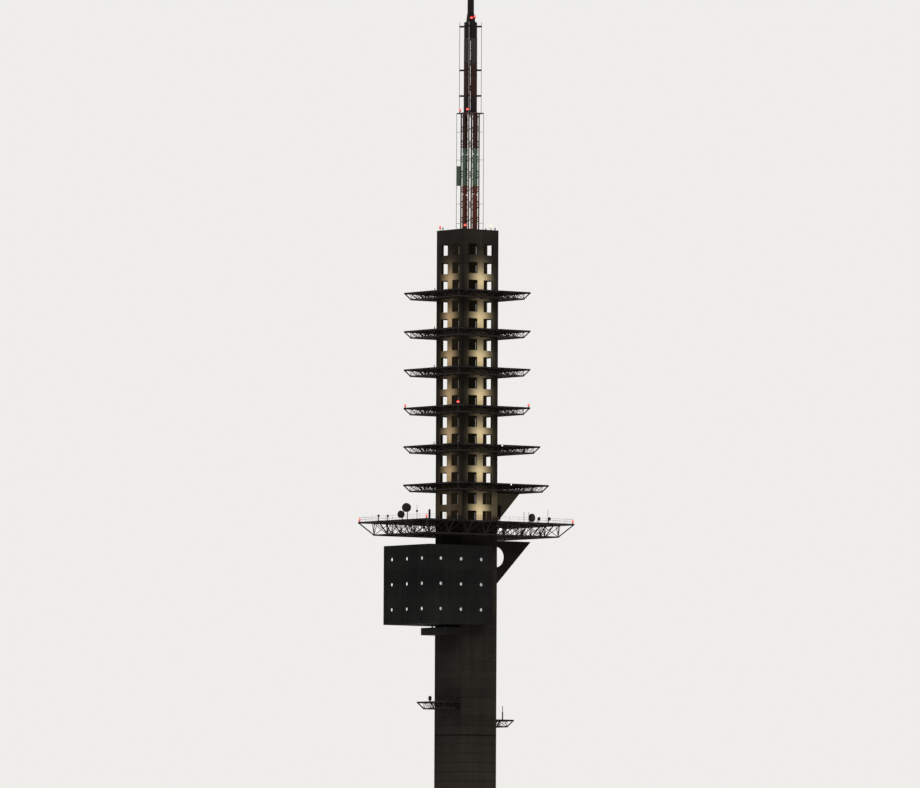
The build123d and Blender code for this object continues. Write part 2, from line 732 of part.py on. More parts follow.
def main():
    """Writes every piece."""
    os.makedirs("parts", exist_ok=True)
    write("base_slab", base_slab())
    shaft_walls()
    write("entrance_door", entrance_door())
    corner_piers()
    write("mullions", mullions())
    for side in SIDES:
        write(f"wall_panels_{side}", wall_panels(side))
    write("shaft_floors", shaft_floors())
    write("roof_slab", roof_slab())
    for level in range(PLATFORMS):
        write(f"deck_{level + 1}", deck(level))
    frames = [platform_frame(level) for level in range(PLATFORMS)]
    for side in SIDES:
        write(f"deck_frames_{side}", [side_of(frame, side) for frame in frames])
    block_walls()
    write("block_base", block_slab(BLOCK_BOTTOM, BLOCK_SLAB, 0))
    write("block_roof", block_slab(BLOCK_TOP - BLOCK_SLAB, BLOCK_SLAB, 0))
    write("block_floors", block_floors())
    write("window_panes", window_panes())
    write("cabin", cabin())
    write("lower_fin", lower_fin())
    write("upper_fin", upper_fin())
    write("balcony_east", balcony(EAST_BALCONY_DECK))
    write("balcony_west", turned(balcony(WEST_BALCONY_DECK), "west"))
    write("gallery", gallery())
    write("drum", drum())
    write("aerial_tip", aerial_tip())
    side, low, high = LATTICE_SIDE, ROOF_TOP, GALLERY_TOP - GALLERY_THICKNESS
    write("lower_lattice", lattice(side, low, high, LATTICE_BAYS))
    panels = aerial_panels(side, low, high, LOWER_PANEL_ROWS, PANEL_WIDTH)
    write("lower_aerial_panels", panels + [corner_panel()])
    write("lower_rods", corner_rods(GALLERY_SIDE, side, low, high, LOWER_ARM_HEIGHTS))
    side, low, high = UPPER_LATTICE_SIDE, GALLERY_TOP, DRUM_BOTTOM
    write("upper_lattice", lattice(side, low, high, UPPER_LATTICE_BAYS))
    write("upper_aerial_panels", aerial_panels(side, low, high, UPPER_PANEL_ROWS, UPPER_PANEL_WIDTH))
    write("upper_rods", corner_rods(UPPER_ROD_SIDE, side, low, DRUM_TOP, UPPER_ARM_HEIGHTS))
    write("dishes", dishes())
    write("deck_aerials", deck_aerials())
    write("obstruction_lamps", obstruction_lamps())
    write("white_lamps", white_lamps())
    write("floodlights", floodlights())


main()
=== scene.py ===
"""Finish of a square concrete radio mast at one tenth of its real size.

Lengths are metres. +Z is up, +X is the side with the fins and -X the side with the operations block.
"""
import json
from math import cos, pi, radians, sin

import bmesh
import bpy
from mathutils import Matrix, Vector


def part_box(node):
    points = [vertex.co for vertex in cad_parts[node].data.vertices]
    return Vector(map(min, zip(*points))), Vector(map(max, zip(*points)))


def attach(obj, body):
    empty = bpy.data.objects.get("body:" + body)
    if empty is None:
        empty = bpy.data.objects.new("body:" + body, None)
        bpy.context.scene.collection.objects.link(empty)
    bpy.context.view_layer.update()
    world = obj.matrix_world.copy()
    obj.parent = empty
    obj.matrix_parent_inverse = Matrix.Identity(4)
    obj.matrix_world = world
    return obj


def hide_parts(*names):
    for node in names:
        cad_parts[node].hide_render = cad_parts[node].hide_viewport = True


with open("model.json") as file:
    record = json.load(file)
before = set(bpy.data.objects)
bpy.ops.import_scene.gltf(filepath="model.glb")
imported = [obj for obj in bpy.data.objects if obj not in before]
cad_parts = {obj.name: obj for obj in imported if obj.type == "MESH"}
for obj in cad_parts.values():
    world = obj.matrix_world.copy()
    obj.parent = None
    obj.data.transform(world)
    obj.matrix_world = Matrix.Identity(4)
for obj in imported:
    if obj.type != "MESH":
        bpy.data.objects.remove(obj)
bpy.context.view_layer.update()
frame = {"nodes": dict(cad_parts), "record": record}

# The main sizes, as the frame has them
HALF_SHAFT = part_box("shaft_wall_east")[1].x
WALL = HALF_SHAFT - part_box("shaft_wall_east")[0].x
LOWEST_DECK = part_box("deck_1")[1].z
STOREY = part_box("deck_2")[1].z - LOWEST_DECK
PLATFORMS = 7
ROOF_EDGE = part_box("corner_piers_north_south")[1].z
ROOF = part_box("roof_slab")[1].z
AERIAL_X = sum(corner.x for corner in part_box("gallery")) / 2
SKIN = HALF_SHAFT - 0.1 * WALL

# Space frames under the platforms: a module of the grid, how far in and below the deck the lower chords lie,
# and the sizes of their bars
MODULE = 0.201
CHORD_INSET = 0.100
CHORD_DROP = 0.140
CHORD_RADIUS = 0.013
LOWEST_MODULE = 0.461
LOWEST_CHORD_INSET = 0.230
LOWEST_CHORD_DROP = LOWEST_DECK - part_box("deck_frames_west")[0].z - CHORD_RADIUS
JOIST_WIDTH = 0.014
JOIST_DEPTH = 0.014
FINE_CHORD_RADIUS = 0.006
WEB_RADIUS = 0.0050
WEB_REACH = 0.99
LOWEST_WEB_RADIUS = 0.0065
LOWEST_UPRIGHT_RADIUS = 0.009
NODE_BALL_RADIUS = 0.014
BALCONY_INSET = 0.01

# Plates of the decks: thickness, side and the gap between them
DECK_PLATE = 0.020
DECK_PLATE_SIZE = 0.250
PLATE_GAP = 0.008

# Railing on the lowest platform
RAILING_HEIGHT = 0.090
RAIL_PLACES = (0.52, 1.0)
RAILING_SPACING = 0.23
RAIL_RADIUS = 0.0016
RAILING_INSET = 0.012

# Lamps: glass of the red and white ones, and the place of the one on the roof that burns pale
LAMP_RADIUS = 0.0235
LAMP_HEIGHT = 0.056
LAMP_STEM_RADIUS = 0.005
PALE_ROOF_LAMP = (0.270, -0.415)

# Knobs on the posts of the lowest platform: place, height above the deck and radius
POST_KNOBS = (
    (-1.800, 0.511, 0.102, 0.025),
    (-1.800, 0.200, 0.090, 0.025),
    (-1.800, -0.773, 0.152, 0.024),
)

# Short posts with round heads beside the roof's lamps: place and height
ROOF_POSTS = ((-0.415, 0.270, 0.060), (0.372, -0.415, 0.055), (0.140, -0.415, 0.030))

# Edges of the painted bands of the aerial, counted from the roof, each with the colour below it
BANDS = (
    (0.986, "red"),
    (1.734, "white"),
    (2.443, "dark_red"),
    (2.797, "dark"),
    (3.448, "dark_red"),
    (4.2, "weathered"),
)

# Floodlights on the pierced shaft: light left at a rise in storeys, and at a distance across a face
# in metres. The lowest storey has only stray light and one bright spot on its -X face, and stray light on the
# pier of its -Y face beyond STRAY_PIER.
WASH_RISE = (
    (0.0, 0.62), (0.10, 0.80), (0.22, 1.0), (0.36, 0.93), (0.50, 0.57), (0.65, 0.27), (0.76, 0.13),
    (0.88, 0.05), (1.13, 0.0),
)
WASH_RISE_TOP = 1.25
WASH_ACROSS = (
    (0.0, 1.0), (0.075, 0.90), (0.11, 0.72), (0.15, 0.56), (0.20, 0.36), (0.24, 0.23), (0.29, 0.11),
    (0.33, 0.03), (0.44, 0.0),
)
WASH_STRENGTH = 0.66
WASH_ON_X_FACES = 0.60
STRAY_RISE = ((0.0, 0.0), (0.10, 0.10), (0.15, 0.45), (0.20, 1.0), (0.62, 1.0), (0.80, 0.4), (1.0, 0.0))
STRAY_ACROSS = ((0.0, 1.0), (0.15, 0.75), (0.30, 0.50), (0.44, 0.42))
STRAY_STRENGTH = 0.058
STRAY_PIER = 0.3
HOT_SPOT = (0.060, 0.145)
HOT_SPOT_SIZE = 0.028
HOT_SPOT_STRENGTH = 0.16

# Dim light inside the pierced shaft, more of it near the mullions, and on the upper fin
INSIDE_STRENGTH = 0.005
INSIDE_ON_MULLIONS = 0.008
MULLION_GLOW = 0.08
FIN_STRENGTH = 0.012

# Light behind the portholes of the block's end wall and of its side walls, and how thick that end row is
END_PANE_LIGHT = 0.80
SIDE_PANE_LIGHT = 0.30
PANE_REACH = 0.05

# Concrete lifts: height of one on the shaft and fins, on the block and on the floors, the share of a lift
# that its joint and a stained joint take, and the height of the joint that shows darkest
LIFT = 0.184
BLOCK_LIFT = 0.250
FLOOR_LIFT = 0.5
JOINT = 0.05
STAINED_JOINT = 0.10
DARK_JOINT = 12.630

# Formwork boards: how many in a metre, and share of a seam in a board
BOARDS = 55.0
BOARD_SEAM = 0.12

# Painted light from below on the shaft's foot: how pale it is painted at a height, and the top of that scale
FOOT_PAINTED_LIGHT = ((0.0, 0.9), (11.4, 0.9), (12.9, 0.3), (15.0, 0.0))
FOOT_PAINTED_LIGHT_TOP = 30.0

# Ribs: width of one on the cabin's cladding, and how closely the lamps' glass is ribbed
CABIN_RIB = 0.055
GLASS_RIBS = 1400.0

# Aerial: the cone on the drum, the width of the drum's rim, the bays of the two lattices, how far in a leg's
# middle lies, the brackets of the upper rods, the most that a rod's arm is thick, and how far a panel's cover
# reaches past it
CONE_HEIGHT = 0.176
DRUM_RIM = 0.036
LATTICE_BAYS = (("lower_lattice", 8), ("upper_lattice", 6))
LEG_INSET = 0.010
BRACKET_THICKNESS = 0.018
ARM_THICKNESS = 0.012
COVER_OVERHANG = 0.024

# Places of the seams up the aerial's tip, as shares of its straight part
TIP_SEAMS = (0.28, 0.56, 0.84)

# Floodlights: height of the axle above its deck, and tilt towards the wall
FLOODLIGHT_AXLE = 0.018
FLOODLIGHT_TILT = radians(-25)

# Aerials on the decks: points of a plain post, and how thick the balconies' posts are at the head or foot
POST_POINTS = 12
WEST_POST_HEAD = 0.033
EAST_POST_SLEEVE = 0.013

# Heights of the hinges of the entrance door
HINGES = (0.04, 0.115, 0.19)

# Meshes: points closer than this are joined, and edges sharper than this stay sharp
WELD = 1e-5
SHARP_EDGE = radians(35)

# Colours in linear values
SHAFT_GREY = (0.0150, 0.0128, 0.0103)
# Fins of one concrete: the upper painted lighter, as painted light, and the lower darker, as painted shade
UPPER_FIN_PAINTED_LIT_GREY = (0.038, 0.031, 0.024)
LOWER_FIN_PAINTED_SHADE_GREY = (0.0120, 0.0105, 0.0090)
BLOCK_GREY = (0.0085, 0.0082, 0.0078)
FLOOR_GREY = (0.0145, 0.0128, 0.0108)
DECK_BLACK = (0.0075, 0.0064, 0.0058)
FRAME_BROWN = (0.0165, 0.0115, 0.0085)
GALLERY_BROWN = (0.045, 0.020, 0.015)
DOOR_GREY = (0.060, 0.070, 0.076)
AERIAL_DARK = (0.0060, 0.0050, 0.0050)
PANEL_BROWN = (0.0140, 0.0060, 0.0048)
ROD_GREY = (0.260, 0.240, 0.220)
DISH_GREY = (0.0110, 0.0088, 0.0080)
RUST = (0.050, 0.020, 0.010)
DIRT = (0.024, 0.018, 0.015)
FLOODLIGHT_GREY = (0.050, 0.045, 0.040)
BAND_COLOURS = {
    "red": (0.082, 0.019, 0.011),
    "white": (0.066, 0.100, 0.066),
    "dark_red": (0.027, 0.009, 0.007),
    "dark": (0.010, 0.008, 0.008),
    "weathered": (0.027, 0.027, 0.022),
}
LIGHT_WARM = (1.0, 0.78, 0.43)
LIGHT_AMBER = (1.0, 0.69, 0.37)
LIGHT_RED = (1.0, 0.006, 0.006)
LIGHT_PINK = (1.0, 0.19, 0.15)
LIGHT_PEACH = (1.0, 0.66, 0.42)
LIGHT_WHITE = (0.92, 0.97, 0.93)
BACKGROUND = (0.86, 0.85, 0.83)

# Studio: light from all round, three suns with azimuth and height in degrees and strength, how wide a sun
# looks, and the floor
SKY_LIGHT = 0.5
SUNS = (
    ("key", 5, 40, 1.25),
    ("fill", 95, 25, 0.5),
    ("back", 230, 35, 0.5),
)
SUN_SPREAD = radians(25)
FLOOR_RADIUS = 400.0

# Camera, fitted to the photograph
CAMERA_AZIMUTH = radians(36.87)
CAMERA_DISTANCE = 200.0
CAMERA_HEIGHT = 7.49
CAMERA_YAW = radians(-0.0395)
CAMERA_PITCH = radians(3.422)
CAMERA_ROLL = radians(0.275)
FOCAL_LENGTH_PIXELS = 10033
IMAGE_WIDTH = 920


class Shader:
    """A material's nodes, built from the coordinates towards the surface."""

    def __init__(self, name, roughness, metallic=0.0, specular=0.5):
        self.material = bpy.data.materials.new(name)
        self.material.use_nodes = True
        self.nodes = self.material.node_tree.nodes
        self.links = self.material.node_tree.links
        self.surface = self.nodes["Principled BSDF"]
        self.surface.inputs["Roughness"].default_value = roughness
        self.surface.inputs["Metallic"].default_value = metallic
        self.surface.inputs["Specular IOR Level"].default_value = specular
        self.place = self.nodes.new("ShaderNodeTexCoord").outputs["Object"]
        parts = self.nodes.new("ShaderNodeSeparateXYZ")
        self.links.new(self.place, parts.inputs[0])
        self.x, self.y, self.z = parts.outputs

    def put(self, value, socket):
        """Links a socket, or sets a number or colour."""
        if isinstance(value, bpy.types.NodeSocket):
            self.links.new(value, socket)
        elif isinstance(value, tuple):
            socket.default_value = (*value, 1.0)
        else:
            socket.default_value = value

    def math(self, operation, *values):
        """One step of arithmetic."""
        node = self.nodes.new("ShaderNodeMath")
        node.operation = operation
        for value, socket in zip(values, node.inputs):
            self.put(value, socket)
        return node.outputs[0]

    def product(self, *values):
        """All the values multiplied together."""
        result = values[0]
        for value in values[1:]:
            result = self.math("MULTIPLY", result, value)
        return result

    def total(self, *pairs):
        """The sum of values, each with its share."""
        result = 0.0
        for value, share in pairs:
            result = self.math("ADD", self.math("MULTIPLY", value, share), result)
        return result

    def bell(self, value, width):
        """One where the value is zero, falling away on both sides."""
        return self.math("EXPONENT", self.math("MULTIPLY", self.math("POWER", value, 2.0), -1.0 / width ** 2))

    def noise(self, scale, detail=3.0, stretch=(1.0, 1.0, 1.0)):
        """Cloudy values about a half, stretched along the axes."""
        mapping = self.nodes.new("ShaderNodeMapping")
        mapping.inputs["Scale"].default_value = stretch
        self.links.new(self.place, mapping.inputs["Vector"])
        texture = self.nodes.new("ShaderNodeTexNoise")
        texture.inputs["Scale"].default_value = scale
        texture.inputs["Detail"].default_value = detail
        self.links.new(mapping.outputs[0], texture.inputs["Vector"])
        return texture.outputs["Fac"]

    def plates(self, size, gap):
        """The tone of each square plate of a deck, and one at the seams between them."""
        shares = self.nodes.new("ShaderNodeVectorMath")
        shares.operation = "SCALE"
        shares.inputs["Scale"].default_value = 1.0 / size
        self.links.new(self.place, shares.inputs["Vector"])
        cell = self.nodes.new("ShaderNodeVectorMath")
        cell.operation = "FLOOR"
        self.links.new(shares.outputs[0], cell.inputs[0])
        tone = self.nodes.new("ShaderNodeTexWhiteNoise")
        self.links.new(cell.outputs[0], tone.inputs["Vector"])
        seams = []
        for along in (self.x, self.y):
            share = self.math("FRACT", self.math("DIVIDE", along, size))
            seams.append(self.math("LESS_THAN", share, gap / size))
        return tone.outputs["Value"], self.math("MAXIMUM", *seams)

    def ramp(self, value, stops):
        """A colour ramp through (place, colour) stops."""
        node = self.nodes.new("ShaderNodeValToRGB")
        elements = node.color_ramp.elements
        while len(elements) < len(stops):
            elements.new(0.5)
        for element, (place, colour) in zip(elements, stops):
            element.position = place
            element.color = (*colour, 1.0)
        self.links.new(value, node.inputs[0])
        return node.outputs[0]

    def curve(self, value, stops, top=1.0):
        """A number that follows (place, height) stops, the last of them at the top or below it."""
        share = value if top == 1.0 else self.math("DIVIDE", value, top)
        return self.ramp(share, [(place / top, (height,) * 3) for place, height in stops])

    def mix(self, factor, first, second):
        """One colour or the other."""
        node = self.nodes.new("ShaderNodeMix")
        node.data_type = "RGBA"
        for value, socket in ((factor, node.inputs[0]), (first, node.inputs[6]), (second, node.inputs[7])):
            self.put(value, socket)
        return node.outputs[2]

    def bump(self, height, distance, strength=1.0):
        """Relief of the surface."""
        node = self.nodes.new("ShaderNodeBump")
        node.inputs["Distance"].default_value = distance
        node.inputs["Strength"].default_value = strength
        self.links.new(height, node.inputs["Height"])
        self.links.new(node.outputs[0], self.surface.inputs["Normal"])

    def colour(self, socket):
        """The surface's colour."""
        self.links.new(socket, self.surface.inputs["Base Color"])

    def glow(self, colour, strength):
        """Light whose colour and strength may vary over the surface."""
        self.put(colour, self.surface.inputs["Emission Color"])
        self.put(strength, self.surface.inputs["Emission Strength"])


def shade(colour, factor):
    """A colour made lighter or darker."""
    return tuple(channel * factor for channel in colour)


def floodlight_wash(shader):
    """Colour and strength of the floodlights' light: strong low on the uprights, gone at the corners."""
    size_x, size_y = shader.math("ABSOLUTE", shader.x), shader.math("ABSOLUTE", shader.y)
    outside = shader.math("GREATER_THAN", shader.math("MAXIMUM", size_x, size_y), SKIN)
    on_x_faces = shader.math("GREATER_THAN", size_x, SKIN)
    height = shader.math("SUBTRACT", shader.z, LOWEST_DECK)
    storey = shader.math("DIVIDE", height, STOREY)
    level = shader.math("MINIMUM", shader.math("MAXIMUM", shader.math("FLOOR", storey), 0.0), PLATFORMS - 1.0)
    rise = shader.math("SUBTRACT", storey, level)
    distance = shader.math("MINIMUM", size_x, size_y)
    above = shader.math("GREATER_THAN", storey, 0.0)
    lowest = shader.product(above, shader.math("LESS_THAN", storey, 1.0))
    lowest_west = shader.math("MULTIPLY", lowest, shader.math("LESS_THAN", shader.x, -SKIN))
    south = shader.math("LESS_THAN", shader.y, -SKIN)
    lowest_pier = shader.product(lowest, south, shader.math("GREATER_THAN", shader.x, STRAY_PIER))
    dimmer = shader.total((on_x_faces, WASH_ON_X_FACES - 1.0), (1.0, 1.0))
    face = shader.product(dimmer, shader.total((lowest_west, -1.0), (1.0, 1.0)))
    upward, sideways = shader.curve(rise, WASH_RISE, WASH_RISE_TOP), shader.curve(distance, WASH_ACROSS)
    wash = shader.product(upward, sideways, above, face, WASH_STRENGTH)
    stray_west = shader.product(lowest_west, shader.curve(distance, STRAY_ACROSS))
    stray_places = shader.math("ADD", stray_west, lowest_pier)
    stray = shader.product(shader.curve(rise, STRAY_RISE), stray_places, STRAY_STRENGTH)
    spot_across = shader.bell(shader.math("SUBTRACT", shader.y, HOT_SPOT[0]), HOT_SPOT_SIZE)
    spot_upward = shader.bell(shader.math("SUBTRACT", height, HOT_SPOT[1]), HOT_SPOT_SIZE)
    hot_spot = shader.product(lowest_west, spot_across, spot_upward, HOT_SPOT_STRENGTH)
    patchy = shader.total((shader.noise(7.0, 4.0), 0.35), (shader.noise(40.0, 3.0), 0.15), (1.0, 0.75))
    light = shader.product(shader.math("ADD", shader.math("ADD", wash, stray), hot_spot), outside)
    mullions = shader.total((shader.bell(distance, MULLION_GLOW), INSIDE_ON_MULLIONS), (1.0, INSIDE_STRENGTH))
    inside = shader.product(shader.total((outside, -1.0), (1.0, 1.0)), above, mullions)
    light = shader.product(shader.math("ADD", light, inside), patchy)
    return shader.mix(on_x_faces, LIGHT_WARM, LIGHT_AMBER), light


def concrete(name, colour, lift=LIFT, lit=False, inside=0.0, painted_lit_foot=False, stray=0.0):
    """Board-marked concrete with mottling, rain streaks and lifts; painted shade inside the shaft where
    asked.
    """
    shader = Shader(name, roughness=0.85, specular=0.05)
    mottle = shader.noise(1.3, 6.0)
    streaks = shader.noise(1.0, 4.0, stretch=(11.0, 11.0, 0.6))
    grain = shader.noise(70.0, 4.0)
    lifts = shader.math("DIVIDE", shader.math("SUBTRACT", shader.z, DARK_JOINT), lift)
    tone = shader.nodes.new("ShaderNodeTexWhiteNoise")
    tone.noise_dimensions = "1D"
    shader.links.new(shader.math("FLOOR", lifts), tone.inputs["W"])
    joint = shader.math("LESS_THAN", shader.math("FRACT", lifts), JOINT)
    boards = shader.math("FRACT", shader.math("MULTIPLY", shader.math("ADD", shader.x, shader.y), BOARDS))
    seam = shader.math("LESS_THAN", boards, BOARD_SEAM)
    value = shader.total((mottle, 0.55), (streaks, 0.35), (tone.outputs["Value"], 0.12))
    value = shader.total((value, 1.0), (joint, -0.12), (seam, -0.04))
    surface = shader.ramp(value, [(0.30, shade(colour, 0.50)), (0.5, colour), (0.72, shade(colour, 1.75))])
    # Painted light from below: the foot of the shaft is painted paler, with its lift joints stained darker
    # across it
    if painted_lit_foot:
        lower = shader.curve(shader.z, FOOT_PAINTED_LIGHT, FOOT_PAINTED_LIGHT_TOP)
        stained = shader.math("LESS_THAN", shader.math("FRACT", lifts), STAINED_JOINT)
        painted_foot_light = shader.mix(0.45, surface, shade(colour, 2.3))
        painted_foot_light = shader.mix(stained, painted_foot_light, shade(colour, 0.85))
        surface = shader.mix(lower, surface, painted_foot_light)
        # A line painted darker along the joint at DARK_JOINT
        line = shader.math("LESS_THAN", shader.math("ABSOLUTE", lifts), STAINED_JOINT)
        surface = shader.mix(line, surface, shade(colour, 0.45))
    # Painted shade: the concrete inside the shaft is painted darker
    if inside:
        outward = shader.math("MAXIMUM", shader.math("ABSOLUTE", shader.x), shader.math("ABSOLUTE", shader.y))
        painted_shade_inside = shader.math("LESS_THAN", outward, HALF_SHAFT - 0.9 * WALL)
        surface = shader.mix(painted_shade_inside, surface, shade(colour, inside))
    shader.colour(surface)
    if lit:
        shader.glow(*floodlight_wash(shader))
    if stray:
        shader.glow(LIGHT_WARM, shader.total((mottle, stray), (1.0, 0.5 * stray)))
    shader.bump(shader.total((grain, 0.5), (seam, -0.35), (joint, -1.0)), 0.003, 0.6)
    return shader.material


def painted_steel(name, colour, roughness=0.5, rust=0.25, rib=0.0, plate=0.0):
    """Weathered paint on steel, with dull patches, a little rust and, where asked, upright ribs or plates."""
    shader = Shader(name, roughness, metallic=0.05, specular=0.10)
    mottle = shader.noise(5.0, 5.0)
    runs = shader.noise(3.0, 4.0, stretch=(8.0, 8.0, 1.0))
    spots = shader.noise(22.0, 5.0)
    value = shader.total((mottle, 0.6), (runs, 0.4))
    if plate:
        tone, seam = shader.plates(plate, PLATE_GAP)
        value = shader.total((value, 1.0), (tone, 0.40), (seam, -0.40), (1.0, -0.20))
    dark, pale = (0.4, 2.2) if plate else (0.7, 1.4)
    paint = shader.ramp(value, [(0.3, shade(colour, dark)), (0.5, colour), (0.72, shade(colour, pale))])
    rusty = shader.curve(spots, [(0.60, 0.0), (0.74, rust)])
    shader.colour(shader.mix(rusty, paint, RUST))
    if rib:
        across = shader.math("MULTIPLY", shader.math("ADD", shader.x, shader.y), 2 * pi / rib)
        shader.bump(shader.total((shader.math("SINE", across), 1.0), (spots, 0.2)), 0.004, 0.8)
    elif plate:
        shader.bump(shader.total((seam, -1.0), (spots, 0.3)), 0.002, 0.5)
    else:
        shader.bump(spots, 0.001, 0.35)
    return shader.material


def banded_paint(name):
    """Red and white warning bands up the aerial."""
    shader = Shader(name, roughness=0.5, specular=0.08)
    above_roof = shader.math("SUBTRACT", shader.z, ROOF)
    height = shader.total((above_roof, 1.0), (shader.noise(14.0, 3.0), 0.02))
    colour = BAND_COLOURS[BANDS[0][1]]
    for (edge, _), (_, name_above) in zip(BANDS, BANDS[1:]):
        colour = shader.mix(shader.math("GREATER_THAN", height, edge), colour, BAND_COLOURS[name_above])
    dirt = shader.curve(shader.noise(9.0, 5.0, stretch=(4.0, 4.0, 0.8)), [(0.35, 0.0), (0.75, 0.45)])
    shader.colour(shader.mix(dirt, colour, DIRT))
    shader.bump(shader.noise(60.0), 0.001, 0.3)
    return shader.material


def lamp_glass(name, colour, strength):
    """Ribbed lamp glass with the light behind it."""
    shader = Shader(name, roughness=0.25, specular=0.3)
    ribs = shader.math("SINE", shader.math("MULTIPLY", shader.z, GLASS_RIBS))
    shader.colour(shader.ramp(shader.noise(30.0), [(0.3, shade(colour, 0.55)), (0.7, shade(colour, 0.85))]))
    shader.glow(colour, shader.total((ribs, 0.08 * strength), (1.0, strength)))
    shader.bump(ribs, 0.0006, 0.6)
    return shader.material


def lit_pane(name):
    """Porthole glass in front of a lit ceiling, brighter in the block's end wall than in its side walls."""
    shader = Shader(name, roughness=0.12)
    cloud = shader.noise(7.0, 2.0)
    end_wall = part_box("window_panes")[0][0] + PANE_REACH
    in_end_wall = shader.math("LESS_THAN", shader.x, end_wall)
    level = shader.total((in_end_wall, END_PANE_LIGHT - SIDE_PANE_LIGHT), (1.0, SIDE_PANE_LIGHT))
    shader.colour(shader.ramp(cloud, [(0.3, (0.20, 0.22, 0.22)), (0.7, (0.32, 0.34, 0.33))]))
    shader.glow(LIGHT_WHITE, shader.math("MULTIPLY", level, shader.total((cloud, 1.0), (1.0, 0.5))))
    return shader.material


def placed(name, data):
    """A new object in the scene."""
    thing = bpy.data.objects.new(name, data)
    bpy.context.scene.collection.objects.link(thing)
    return thing


def new_piece(name, mesh, material, replaces=(), smooth=False):
    """Turns a bmesh into a piece that rides with the mast."""
    bmesh.ops.remove_doubles(mesh, verts=mesh.verts, dist=WELD)
    bmesh.ops.recalc_face_normals(mesh, faces=mesh.faces)
    data = bpy.data.meshes.new(name)
    mesh.to_mesh(data)
    mesh.free()
    data.materials.append(material)
    if smooth:
        data.polygons.foreach_set("use_smooth", [True] * len(data.polygons))
        data.set_sharp_from_angle(angle=SHARP_EDGE)
    piece = placed(name, data)
    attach(piece, "root")
    if replaces:
        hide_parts(*replaces)


def turned_to(direction):
    """The turn that points +Z along a direction."""
    return direction.to_track_quat("Z", "Y").to_matrix().to_4x4()


def extent(points):
    """The low and the high corner round some points."""
    return [Vector([end(point[i] for point in points) for i in range(3)]) for end in (min, max)]


def add_bar(mesh, start, end, radius, sides=6):
    """A closed bar between two points."""
    start, end = Vector(start), Vector(end)
    run = end - start
    place = Matrix.Translation((start + end) / 2) @ turned_to(run)
    bmesh.ops.create_cone(
        mesh, cap_ends=True, segments=sides, radius1=radius, radius2=radius, depth=run.length, matrix=place
    )


def add_box(mesh, low, high, bevel=0.0, place=Matrix()):
    """A box between two opposite corners, put in place, with its edges rounded off where asked."""
    low, high = Vector(low), Vector(high)
    size = high - low
    fit = place @ Matrix.Translation((low + high) / 2) @ Matrix.Diagonal((*size, 1.0))
    made = bmesh.ops.create_cube(mesh, size=1.0, matrix=fit)
    if bevel:
        edges = {edge for vertex in made["verts"] for edge in vertex.link_edges}
        bmesh.ops.bevel(
            mesh, geom=list(edges), offset=bevel, affect="EDGES", segments=2, profile=0.5, material=-1
        )


def joined(starts):
    """The vertices that edges join to the given ones."""
    shape = set(starts)
    grown = list(shape)
    while grown:
        vertex = grown.pop()
        for edge in vertex.link_edges:
            other = edge.other_vert(vertex)
            if other not in shape:
                shape.add(other)
                grown.append(other)
    return shape


def add_turned(mesh, profile, place, steps=24):
    """A solid turned from (radius, height) points about its own Z axis, then put in place."""
    points = [mesh.verts.new((radius, 0.0, height)) for radius, height in profile]
    edges = [mesh.edges.new(pair) for pair in zip(points, points[1:])]
    bmesh.ops.spin(
        mesh, geom=points + edges, cent=(0, 0, 0), axis=(0, 0, 1), angle=2 * pi, steps=steps, use_merge=True
    )
    shape = joined(vertex for vertex in points if vertex.is_valid)
    bmesh.ops.remove_doubles(mesh, verts=list(shape), dist=1e-6)
    shape = [vertex for vertex in shape if vertex.is_valid]
    bmesh.ops.transform(mesh, matrix=place, verts=shape)


def solids(node):
    """The separate solids of a CAD node.

    Each is its low corner, its high corner, its points and its faces as (centre, normal, area).
    """
    mesh = bmesh.new()
    mesh.from_mesh(frame["nodes"][node].data)
    bmesh.ops.remove_doubles(mesh, verts=mesh.verts, dist=WELD)
    left = set(mesh.verts)
    found = []
    while left:
        group = joined([next(iter(left))])
        left -= group
        points = [vertex.co.copy() for vertex in group]
        low, high = extent(points)
        faces = {face for vertex in group for face in vertex.link_faces}
        flats = [(face.calc_center_median(), face.normal.copy(), face.calc_area()) for face in faces]
        found.append((low, high, points, flats))
    mesh.free()
    return sorted(found, key=lambda solid: tuple(round(v, 4) for v in solid[0]))


def spread(low, high, spacing):
    """Evenly spaced places from low to high, about a spacing apart."""
    bays = max(1, round((high - low) / spacing))
    return [low + (high - low) * i / bays for i in range(bays + 1)]


def in_shaft(x, y):
    """Whether a place in plan lies within the shaft."""
    return abs(x) < HALF_SHAFT and abs(y) < HALF_SHAFT


def halves(lines, low, high):
    """The places midway between lines, and the two edges."""
    return [low] + [(a + b) / 2 for a, b in zip(lines, lines[1:])] + [high]


def stretches(fixed, low, high):
    """A line from low to high, in two where the shaft stands in its way."""
    if abs(fixed) < HALF_SHAFT:
        return [(low, -HALF_SHAFT), (HALF_SHAFT, high)]
    return [(low, high)]


def frame_lines(level):
    """Lower chord lines of one platform along X and Y, with its deck's edges and the drop of the chords."""
    low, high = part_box(f"deck_{level}")
    if level == 1:
        inset, module, drop = LOWEST_CHORD_INSET, LOWEST_MODULE, LOWEST_CHORD_DROP
    else:
        inset, module, drop = CHORD_INSET, MODULE, CHORD_DROP
    lines_x = spread(low.x + inset, -low.x - inset, module)
    if high.x > -low.x + inset:
        lines_x = lines_x[:-1] + spread(-low.x - inset, high.x - inset, module)
    return lines_x, spread(low.y + inset, high.y - inset, module), low, high, drop


def add_fine_chords(mesh, lines_x, lines_y, z):
    """The chords between the heavier ones of the frame, at every second line."""
    for x in lines_x[1::2]:
        for low, high in stretches(x, lines_y[0], lines_y[-1]):
            add_bar(mesh, (x, low, z), (x, high, z), FINE_CHORD_RADIUS)
    for y in lines_y[1::2]:
        for low, high in stretches(y, lines_x[0], lines_x[-1]):
            add_bar(mesh, (low, y, z), (high, y, z), FINE_CHORD_RADIUS)


